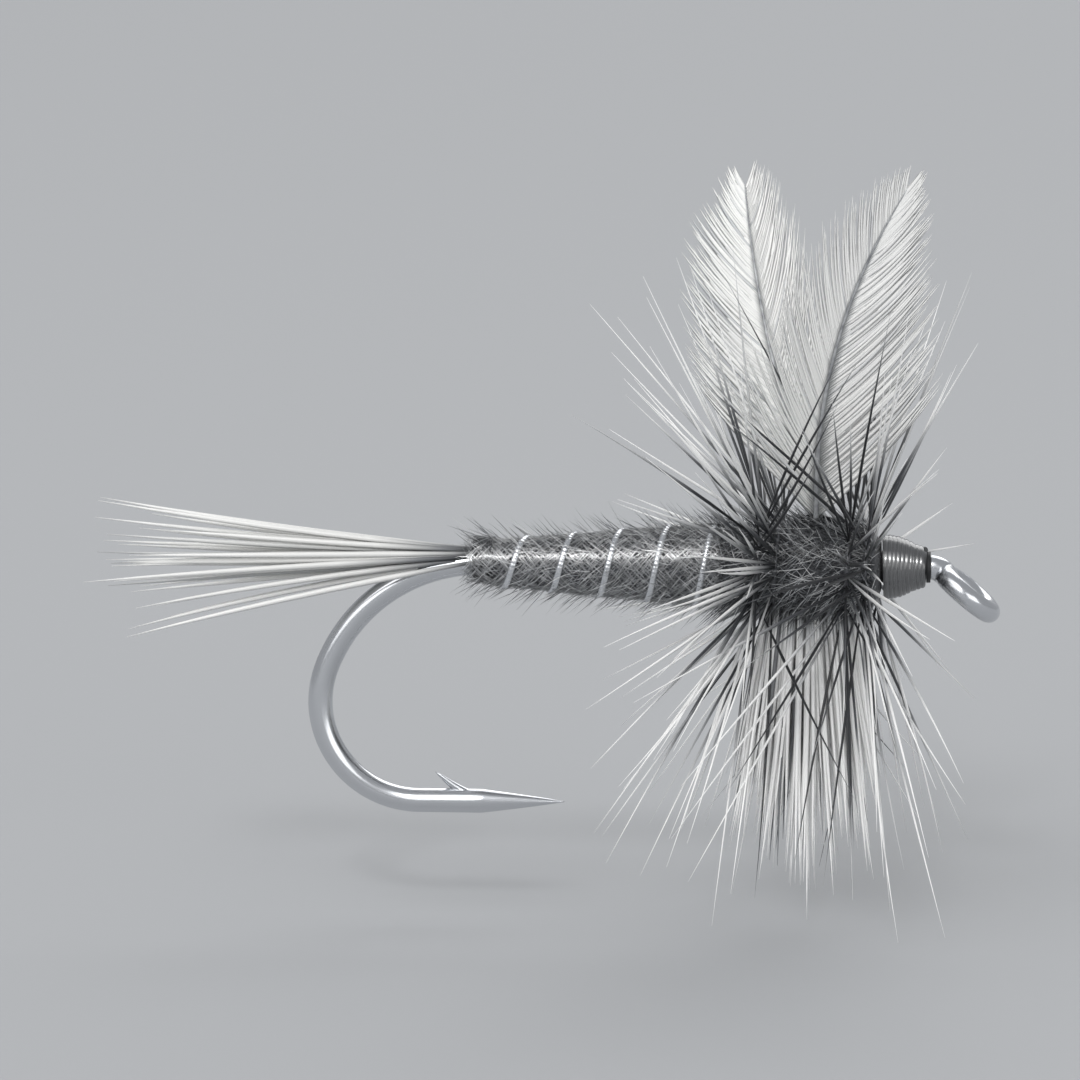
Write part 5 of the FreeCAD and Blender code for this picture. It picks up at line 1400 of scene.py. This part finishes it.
def vane_angles(tree, given, share, random_of):
    """Angle between each barb and the quill, in radians, on the side that `Edge` says."""
    # in the upper part the barbs close up towards the quill
    close = add_node(tree, "ShaderNodeMapRange", {
        "Value": share, "From Min": given["Closes"], "From Max": given["Last"],
    })
    close = add_node(tree, MATH, {0: close, 1: 2.0}, operation="POWER")
    angle = add_node(tree, "ShaderNodeMix", {"Factor": close, "A": given["Angle"], "B": given["Tip Angle"]},
                     data_type="FLOAT")
    # and at its foot the soft barbs of the narrow edge open out
    opened = add_node(tree, MATH, {0: share, 1: given["Opens"]}, operation="DIVIDE")
    opened = add_node(tree, MATH, {0: 1.0, 1: opened}, operation="SUBTRACT")
    opened = add_node(tree, MATH, {0: opened, 1: 0.0}, operation="MAXIMUM")
    angle = add_node(tree, MATH, {0: opened, 1: given["Foot Opening"], 2: angle}, operation="MULTIPLY_ADD")
    # barbs cling together in clumps: a slow waver from barb to barb, on top of each one's own scatter
    index = add_node(tree, "GeometryNodeInputIndex")
    order = add_node(tree, MATH, {0: index, 1: 0.24, 2: given["Seed"]}, operation="MULTIPLY_ADD")
    clump = add_node(tree, "ShaderNodeTexNoise", {"W": order, "Scale": 1.0, "Detail": 1.0},
                     noise_dimensions="1D")
    clump = add_node(tree, "ShaderNodeMapRange", {
        "Value": clump, "From Min": 0.25, "From Max": 0.75, "To Min": -1.0,
    })
    angle = add_node(tree, MATH, {0: clump, 1: given["Clump"], 2: angle}, operation="MULTIPLY_ADD")
    angle = add_node(tree, MATH, {
        0: random_of["angle"], 1: given["Angle Scatter"], 2: angle,
    }, operation="MULTIPLY_ADD")
    angle = add_node(tree, MATH, {0: angle}, operation="RADIANS")
    return add_node(tree, MATH, {0: angle, 1: given["Edge"]}, operation="MULTIPLY")


def vane_chord(tree, given, quill_way, angle):
    """Which way each barb runs from root to tip, in the wing's plane and a little cupped out of it."""
    # the quill leans along X, and the barbs follow it wholly, or less on the side that it leans to
    lean_x = add_node(tree, "ShaderNodeSeparateXYZ", {"Vector": quill_way})
    lean_up = add_node(tree, VECTOR_MATH, {0: quill_way, 1: given["Blade Up"]}, operation="DOT_PRODUCT")
    lean = add_node(tree, MATH, {0: lean_x, 1: lean_up}, operation="ARCTAN2")
    turned = add_node(tree, MATH, {0: lean, 1: given["Follow"], 2: angle}, operation="MULTIPLY_ADD")
    sine = add_node(tree, MATH, {0: turned}, operation="SINE")
    cosine = add_node(tree, MATH, {0: turned}, operation="COSINE")
    cup = add_node(tree, MATH, {0: given["Cup"]}, operation="RADIANS")
    cup_up = add_node(tree, MATH, {0: cup}, operation="SINE")
    for factor in (sine, given["Edge"]):
        cup_up = add_node(tree, MATH, {0: cup_up, 1: factor}, operation="MULTIPLY")
    return vector_sum(tree, [
        ((1, 0, 0), sine), (given["Blade Up"], cosine), (given["Blade Normal"], cup_up),
    ])


# %% The vane tree
def vane_tree():
    """The barbs of one edge of a feather, along its quill: `Edge` is 1 for the front and -1 for the rear."""
    tree, given = geometry_tree("Feather vane", VANE_INPUTS)
    quill = add_node(tree, "GeometryNodeMeshToCurve", {"Mesh": given["Geometry"]})
    even = add_node(tree, "GeometryNodeResampleCurve", {"Curve": quill, "Count": given["Barbs"]})
    for name, source, kind in (
        ("share", "GeometryNodeSplineParameter", "FLOAT"),
        ("heading", "GeometryNodeInputTangent", "FLOAT_VECTOR"),
    ):
        even = add_node(tree, STORE, {
            "Geometry": even, "Name": name, "Value": add_node(tree, source),
        }, data_type=kind)
    roots = add_node(tree, "GeometryNodeCurveToPoints", {"Curve": even}, mode="EVALUATED")
    share = add_node(tree, STORED, {"Name": "share"}, data_type="FLOAT")
    share = add_node(tree, "ShaderNodeMapRange", {
        "Value": share, "To Min": given["First"], "To Max": given["Last"],
    })
    quill_way = add_node(tree, STORED, {"Name": "heading"}, data_type="FLOAT_VECTOR")
    random_of = scatter_values(tree, given["Seed"], ("angle", "length", "lift"))
    chord = vane_chord(tree, given, quill_way, vane_angles(tree, given, share, random_of))

    # barbs get shorter towards the tip of the wing, and their ends fray
    faded = share
    for factor in (share, given["Fade"]):
        faded = add_node(tree, MATH, {0: faded, 1: factor}, operation="MULTIPLY")
    length = add_node(tree, MATH, {0: 1.0, 1: faded}, operation="SUBTRACT")
    fray = add_node(tree, MATH, {0: random_of["length"], 1: given["Fray"], 2: 1.0}, operation="MULTIPLY_ADD")
    for factor in (fray, given["Length"]):
        length = add_node(tree, MATH, {0: length, 1: factor}, operation="MULTIPLY")
    # a barb leaves the quill wider than its chord, and bows back towards the tip of the wing
    outwards = add_node(tree, MATH, {0: given["Bow"], 1: given["Edge"]}, operation="MULTIPLY")
    inwards = add_node(tree, MATH, {0: outwards, 1: -1.0}, operation="MULTIPLY")
    lift = add_node(tree, MATH, {0: random_of["lift"], 1: 0.02}, operation="MULTIPLY")
    bow = vector_sum(tree, [
        ((1, 0, 0), inwards), (given["Blade Up"], given["Bow"]), (given["Blade Normal"], lift),
    ])
    heading = add_node(tree, VECTOR_MATH, {0: chord, 1: bow}, operation="SUBTRACT")
    bend = add_node(tree, VECTOR_MATH, {0: bow, "Scale": length}, operation="SCALE")

    # each barb lies a little on edge over the next one, as shingles do
    side = add_node(tree, VECTOR_MATH, {0: chord, 1: given["Blade Normal"]}, operation="CROSS_PRODUCT")
    side = vector_sum(tree, [(side, 1.0), (given["Blade Normal"], given["Shingle"])])
    side = add_node(tree, VECTOR_MATH, {0: side}, operation="NORMALIZE")
    barbs = add_node(tree, "GeometryNodeGroup", {
        "Geometry": roots, "Direction": heading, "Bend": bend, "Side": side, "Length": length,
        "Width": given["Width"], "Flatness": 0.25, "Root Width": 0.7, "Belly": 0.12, "Sharpness": 4.0,
        "Sides": 4, "Rings": 10, "Seed": given["Seed"],
    }, node_tree=GROW_FIBRES)
    return end_tree(tree, barbs, given["Material"])


VANE = vane_tree()

# %% Grow the vanes
def polyline(name, points):
    """A mesh of edges only, for trees that grow something along a path."""
    data = bpy.data.meshes.new(name)
    data.from_pydata(points, [(index, index + 1) for index in range(len(points) - 1)], [])
    return data


# the quill is bare at its foot and at its very tip
BARE_FOOT, BARE_TIP = 1.45 * MM, 0.43 * MM
# on the side that the quill leans to, the barbs follow its lean only in part
FOLLOWS_LESS = 0.3
BROAD = {"Angle": 38.0, "Tip Angle": 25.0, "Barbs": 120, "Width": 0.105 * MM}
NARROW = {"Angle": 21.0, "Tip Angle": 21.0, "Foot Opening": 14.0, "Barbs": 120, "Width": 0.075 * MM}
BARB_LENGTHS = {
    ("right", "front"): 4.45 * MM, ("right", "rear"): 4.0 * MM,
    ("left", "front"): 4.5 * MM, ("left", "rear"): 4.15 * MM,
}
for side, wing in WINGS.items():
    first = (BARE_FOOT - wing.root_height) / wing.length
    last = 1 - BARE_TIP / wing.length
    stretch = [wing.point(share) for share in steps(first, last, 60)]
    leans_to = "front" if side == "right" else "rear"
    for number, (edge, way) in enumerate((("front", 1.0), ("rear", -1.0))):
        vane = keep_result(f"{side}_{edge}_web", polyline("quill line", stretch), VANE, {
            **(BROAD if edge == leans_to else NARROW), "Length": BARB_LENGTHS[side, edge],
            "Blade Up": wing.up, "Blade Normal": wing.normal, "Edge": way, "First": first, "Last": last,
            "Follow": FOLLOWS_LESS if edge == leans_to else 1.0,
            "Seed": 100 + 10 * number + (5 if side == "left" else 0), "Material": WING_WEB,
        })
        finish_piece(vane, "wing_vane", f"{side}_wing_{edge}_vane")


# %% [markdown]
# ## Thread
#
# Everything is held by one waxed thread. The *thread* tree winds it: a line of points is rolled into a coil
# whose radius changes from end to end, and a round section is swept along it. Start, end, turns and radii are
# its inputs, so the same tree makes the head, the whip finish, the lashing at the tail and the posts round
# the wings.

# %% The thread tree
THREAD_INPUTS = {
    "Start": ("Float", 0.0), "End": ("Float", 0.001), "Turns": ("Float", 5.0),
    "Start Radius": ("Float", 0.001), "End Radius": ("Float", 0.001), "Swell": ("Float", 0.0),
    "Waver": ("Float", 0.0), "Width": ("Float", 0.0001), "Place": ("Vector", None),
    "Turn": ("Vector", None), "Material": ("Material", None),
}
POINTS_PER_TURN = 40


def thread_tree():
    """Thread wound round an axis in a close coil."""
    tree, given = geometry_tree("Wound thread", THREAD_INPUTS)
    many = add_node(tree, MATH, {0: given["Turns"], 1: float(POINTS_PER_TURN)}, operation="MULTIPLY")
    count = add_node(tree, MATH, {0: many, 1: 1.0}, operation="ADD")
    line = add_node(tree, "GeometryNodeMeshLine", {"Count": count})
    thread = add_node(tree, "GeometryNodeMeshToCurve", {"Mesh": line})
    index = add_node(tree, "GeometryNodeInputIndex")
    share = add_node(tree, MATH, {0: index, 1: many}, operation="DIVIDE")
    turn = add_node(tree, MATH, {0: index, 1: -math.tau / POINTS_PER_TURN}, operation="MULTIPLY")
    station = add_node(tree, "ShaderNodeMapRange", {
        "Value": share, "To Min": given["Start"], "To Max": given["End"],
    })
    radius = add_node(tree, "ShaderNodeMapRange", {
        "Value": share, "To Min": given["Start Radius"], "To Max": given["End Radius"],
    })
    half_turn = add_node(tree, MATH, {0: share, 1: math.pi}, operation="MULTIPLY")
    arch = add_node(tree, MATH, {0: half_turn}, operation="SINE")
    radius = add_node(tree, MATH, {0: arch, 1: given["Swell"], 2: radius}, operation="MULTIPLY_ADD")
    # turns lie side by side but never quite evenly: the waver changes once or so per turn
    slow = add_node(tree, MATH, {0: index, 1: 1.3 / POINTS_PER_TURN}, operation="MULTIPLY")
    waver = add_node(tree, "ShaderNodeTexNoise", {"W": slow, "Scale": 1.0}, noise_dimensions="1D")
    waver = add_node(tree, "ShaderNodeMapRange", {"Value": waver, "To Min": -1.0})
    offset = add_node(tree, MATH, {0: waver, 1: given["Waver"]}, operation="MULTIPLY")
    station = add_node(tree, MATH, {0: station, 1: offset}, operation="ADD")
    radius = add_node(tree, MATH, {0: radius, 1: offset}, operation="ADD")
    sine = add_node(tree, MATH, {0: turn}, operation="SINE")
    cosine = add_node(tree, MATH, {0: turn}, operation="COSINE")
    across = add_node(tree, MATH, {0: radius, 1: sine}, operation="MULTIPLY")
    above = add_node(tree, MATH, {0: radius, 1: cosine}, operation="MULTIPLY")
    spot = add_node(tree, "ShaderNodeCombineXYZ", {"X": station, "Y": across, "Z": above})
    thread = add_node(tree, "GeometryNodeSetPosition", {"Geometry": thread, "Position": spot})
    so_far = add_node(tree, "GeometryNodeSplineParameter").node.outputs["Length"]
    thread = add_node(tree, STORE, {"Geometry": thread, "Name": "along", "Value": so_far}, data_type="FLOAT")
    half = add_node(tree, MATH, {0: given["Width"], 1: 0.5}, operation="MULTIPLY")
    section = add_node(tree, "GeometryNodeCurvePrimitiveCircle", {"Resolution": 12, "Radius": half})
    section = add_node(tree, STORE, {
        "Geometry": section, "Name": "across", "Value": add_node(tree, "GeometryNodeSplineParameter"),
    }, data_type="FLOAT")
    wound = add_node(tree, "GeometryNodeCurveToMesh", {
        "Curve": thread, "Profile Curve": section, "Fill Caps": True,
    })
    placed = add_node(tree, "GeometryNodeTransform", {
        "Geometry": wound, "Translation": given["Place"], "Rotation": given["Turn"],
    })
    return end_tree(tree, placed, given["Material"])


THREAD = thread_tree()

# %% Wind the head, the whip finish and the lashings
def wind(name, node, material, settings):
    """Thread in place of a CAD node, wound round the shank unless the settings name another axis."""
    winding = keep_result(name, empty_start.copy(), THREAD, {
        "Place": (0, 0, SHANK_Z), "Material": material, **settings,
    })
    finish_piece(winding, "tying_thread", node)


def span(node):
    """Back end, front end and greatest radius round the shank of a CAD node."""
    low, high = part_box(node)
    return low.x, high.x, max(high.z - SHANK_Z, SHANK_Z - low.z)


# cement fills the valleys between the turns, so the thread is drawn thicker than its pitch
HEAD_THREAD = 0.17 * MM
HEAD_FRONT_RADIUS = 0.62 * MM
inner = HEAD_THREAD / 2
cement_back, cement_front, cement_radius = span("head_cement")
whip_back, _, whip_radius = span("whip_finish")
head_back, _, head_radius = span("head_thread_wraps")
wind("head_wraps", "head_thread_wraps", LACQUERED_THREAD, {
    "Start": head_back + inner, "End": whip_back, "Turns": 6.5, "Start Radius": head_radius - inner,
    "End Radius": HEAD_FRONT_RADIUS - inner, "Width": HEAD_THREAD, "Swell": 0.05 * MM, "Waver": 0.02 * MM,
})
wind("whip_wraps", "whip_finish", LACQUERED_THREAD, {
    "Start": whip_back, "End": cement_back, "Turns": 3.0, "Start Radius": whip_radius,
    "End Radius": whip_radius - 0.1 * MM, "Width": HEAD_THREAD, "Waver": 0.008 * MM,
})
# the thread's middle lies just inside the surface of the lashing
tie_radius = (tie_high.z - tie_low.z) / 2 - 0.04 * MM
wind("tail_wraps", "tail_lashing", WAXED_THREAD, {
    "Start": tie_low.x + 0.03 * MM, "End": tie_high.x + 0.1 * MM, "Turns": 7.0,
    "Start Radius": tie_radius * 0.93, "End Radius": tie_radius, "Width": 0.085 * MM,
    "Waver": 0.01 * MM, "Place": (0, 0, TIE_Z),
})

# %% Wind the posts of the wings
for side, wing in WINGS.items():
    low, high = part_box(f"{side}_wing_post_wraps")
    wind(f"{side}_post", f"{side}_wing_post_wraps", WAXED_THREAD, {
        "Start": wing.root_height, "End": wing.root_height + (high.z - low.z) / wing.up.z, "Turns": 7.0,
        "Start Radius": 0.15 * MM, "End Radius": 0.13 * MM, "Width": 0.08 * MM,
        "Place": tuple(wing.foot), "Turn": tuple(wing.up.to_track_quat("X", "Z").to_euler()),
    })


# %% [markdown]
# Between the wings the thread crosses in a figure of eight, which holds them apart. Only short pieces of it
# show, so they are four swept strands, each a little higher than the one before it. The layers of thread
# below the body hardly show at all, so they keep their CAD shape, and a bump gives them their turns.

# %% Laid thread, and the figure of eight
def layer_material():
    """Thread laid turn by turn: the turns show as rings 0.1 mm apart along the shank."""
    material, tree, shader = new_material("laid thread, waxed nylon", 0.5, "#1D1E20")
    place = add_node(tree, "ShaderNodeTexCoord", out=OBJECT)
    turns = add_node(tree, "ShaderNodeTexWave", {
        "Vector": place, "Scale": WAVE_PERIOD / (0.1 * MM), "Distortion": 0.4,
    }, bands_direction="X")
    bump = add_node(tree, "ShaderNodeBump", {"Height": turns, "Strength": 0.8, "Distance": 0.03 * MM})
    tree.links.new(bump, shader.inputs["Normal"])
    return material


LAID_THREAD = layer_material()
STRAND, STRAND_REACH, STRAND_ASIDE = 0.075 * MM, 0.62 * MM, 0.3 * MM
ARCH = 0.2 * MM


def crossing_strands():
    """Strands that cross between the wings, two each way, arched over the thorax."""
    strands = bmesh.new()
    for number, way in enumerate((1, -1, 1, -1)):
        top = THORAX_BULGE + (0.05 + 0.03 * number) * MM
        path = []
        for share in steps(-1, 1, 12):
            station, aside = WING_STATION + STRAND_REACH * share, way * STRAND_ASIDE * share
            path.append(Vector((station, aside, SHANK_Z + (top - ARCH * share**2))))
        part = sweep("strand", path, [STRAND] * 12, 10)
        strands.from_mesh(part)
        bpy.data.meshes.remove(part)
    data = bpy.data.meshes.new("figure_eight")
    strands.to_mesh(data)
    strands.free()
    return data


solid_piece("figure_eight", crossing_strands(), LAID_THREAD, "tying_thread", "figure_eight_wraps")
for node in ("thread_underbody", "front_lashing", "rear_lashing"):
    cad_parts[node].data.materials.clear()
    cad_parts[node].data.materials.append(LAID_THREAD)


# %% [markdown]
# The last thing on a fly is a drop of cement on the whip finish. It wets the turns and draws out into a
# smooth collar against the neck of the eye, so it is a turning whose profile is a fillet.

# %% Collar of cement
COLLAR_BACK, COLLAR_FRONT = cement_back - 0.04 * MM, cement_front + 0.03 * MM


def collar(station, angle):
    """Radius of the fillet, the same at every angle."""
    share = (station - COLLAR_BACK) / (COLLAR_FRONT - COLLAR_BACK)
    return WIRE / 2 + (cement_radius - WIRE / 2) * (1 - share) ** 1.6


cement = turning("cement_collar", steps(COLLAR_BACK, COLLAR_FRONT, 16), collar, 48)
solid_piece("cement_collar", cement, HEAD_CEMENT, "head_cement", "head_cement")

# %% [markdown]
# ## Floor, light and camera
#
# The fly stands on a plain pale floor. White fibres need something darker than white behind them, so the
# floor is a light grey, and the world shows the same grey to the camera. One large soft lamp above, on the
# tail's side, makes the highlights run along the wire. A weaker one fills from the head's side, one behind
# the fly lights its far edge, and the world does the rest.

# %% Floor and world
FLOOR_GREY, FLOOR_RADIUS = "#A6A8AB", 2.0
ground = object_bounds()[0].z
floor_mesh = bpy.data.meshes.new("floor")
rim = [
    (FLOOR_RADIUS * math.cos(turn), FLOOR_RADIUS * math.sin(turn), ground)
    for turn in steps(0, math.tau, 65)[:-1]
]
floor_mesh.from_pydata(rim, [], [tuple(range(len(rim)))])
floor = new_object("floor", floor_mesh)
floor.data.materials.append(new_material("matt studio paper", 0.9, FLOOR_GREY)[0])
print("floor:", round(ground / MM, 2), "mm")

world = bpy.data.worlds.new("studio")
bpy.context.scene.world = world
world.use_nodes = True
tree = world.node_tree
sky = tree.nodes["Background"]
sky.inputs["Color"].default_value = linear("#FFFFFF")
sky.inputs["Strength"].default_value = 0.66
seen = tree.nodes.new("ShaderNodeBackground")
seen.inputs["Color"].default_value = linear(FLOOR_GREY)
rays = add_node(tree, "ShaderNodeLightPath").node.outputs
direct = add_node(tree, MATH, {0: rays["Is Camera Ray"], 1: rays["Is Glossy Ray"]}, operation="MAXIMUM")
direct = add_node(tree, MATH, {0: direct, 1: rays["Is Transmission Ray"]}, operation="MAXIMUM")
mix = add_node(tree, "ShaderNodeMixShader", {0: direct, 1: sky.outputs[0], 2: seen.outputs[0]})
tree.links.new(mix, tree.nodes["World Output"].inputs["Surface"])

# %% Lamps
MIDDLE = (cad_box[0] + cad_box[1]) / 2
LAMP_DISTANCE = 1.5


def lamp(name, direction, size, watts):
    """A square soft lamp that looks at the fly's middle, from far off so that the floor is lit evenly."""
    data = bpy.data.lights.new(name, "AREA")
    data.size, data.energy = size, watts
    light = bpy.data.objects.new(name, data)
    bpy.context.scene.collection.objects.link(light)
    light.location = MIDDLE + Vector(direction).normalized() * LAMP_DISTANCE
    light.rotation_euler = (MIDDLE - light.location).to_track_quat("-Z", "Y").to_euler()
    print("lamp:", name, watts, "W")


lamp("key", (-0.5, -1.0, 0.8), 1.4, 9.3)
lamp("fill", (0.8, -1.0, 0.1), 1.2, 6.5)
lamp("rim", (0.2, 1.0, 0.9), 1.0, 6.0)
# a small strong one gives lacquer, tinsel and wire their sparks
lamp("spark", (-0.1, -1.0, 0.75), 0.25, 5.0)

# %% Camera
AZIMUTH, ELEVATION = math.radians(4), math.radians(8)
LENS, SENSOR = 180.0, 36.0
VIEW_WIDTH = 27.2 * MM
AIM_HEIGHT = 1.2 * MM
scene = bpy.context.scene
camera_data = bpy.data.cameras.new("camera")
camera_data.lens, camera_data.sensor_width = LENS, SENSOR
camera_data.clip_start, camera_data.clip_end = 0.005, 10.0
camera = bpy.data.objects.new("camera", camera_data)
scene.collection.objects.link(camera)
towards = Vector((math.sin(AZIMUTH) * math.cos(ELEVATION), -math.cos(AZIMUTH) * math.cos(ELEVATION),
                  math.sin(ELEVATION)))
aim = Vector((MIDDLE.x, 0, AIM_HEIGHT))
camera.location = aim + towards * (VIEW_WIDTH * LENS / SENSOR)
camera.rotation_euler = (-towards).to_track_quat("-Z", "Y").to_euler()
scene.camera = camera
scene.view_settings.view_transform = "Standard"
print("camera:", round((camera.location - aim).length, 3), "m from the fly")
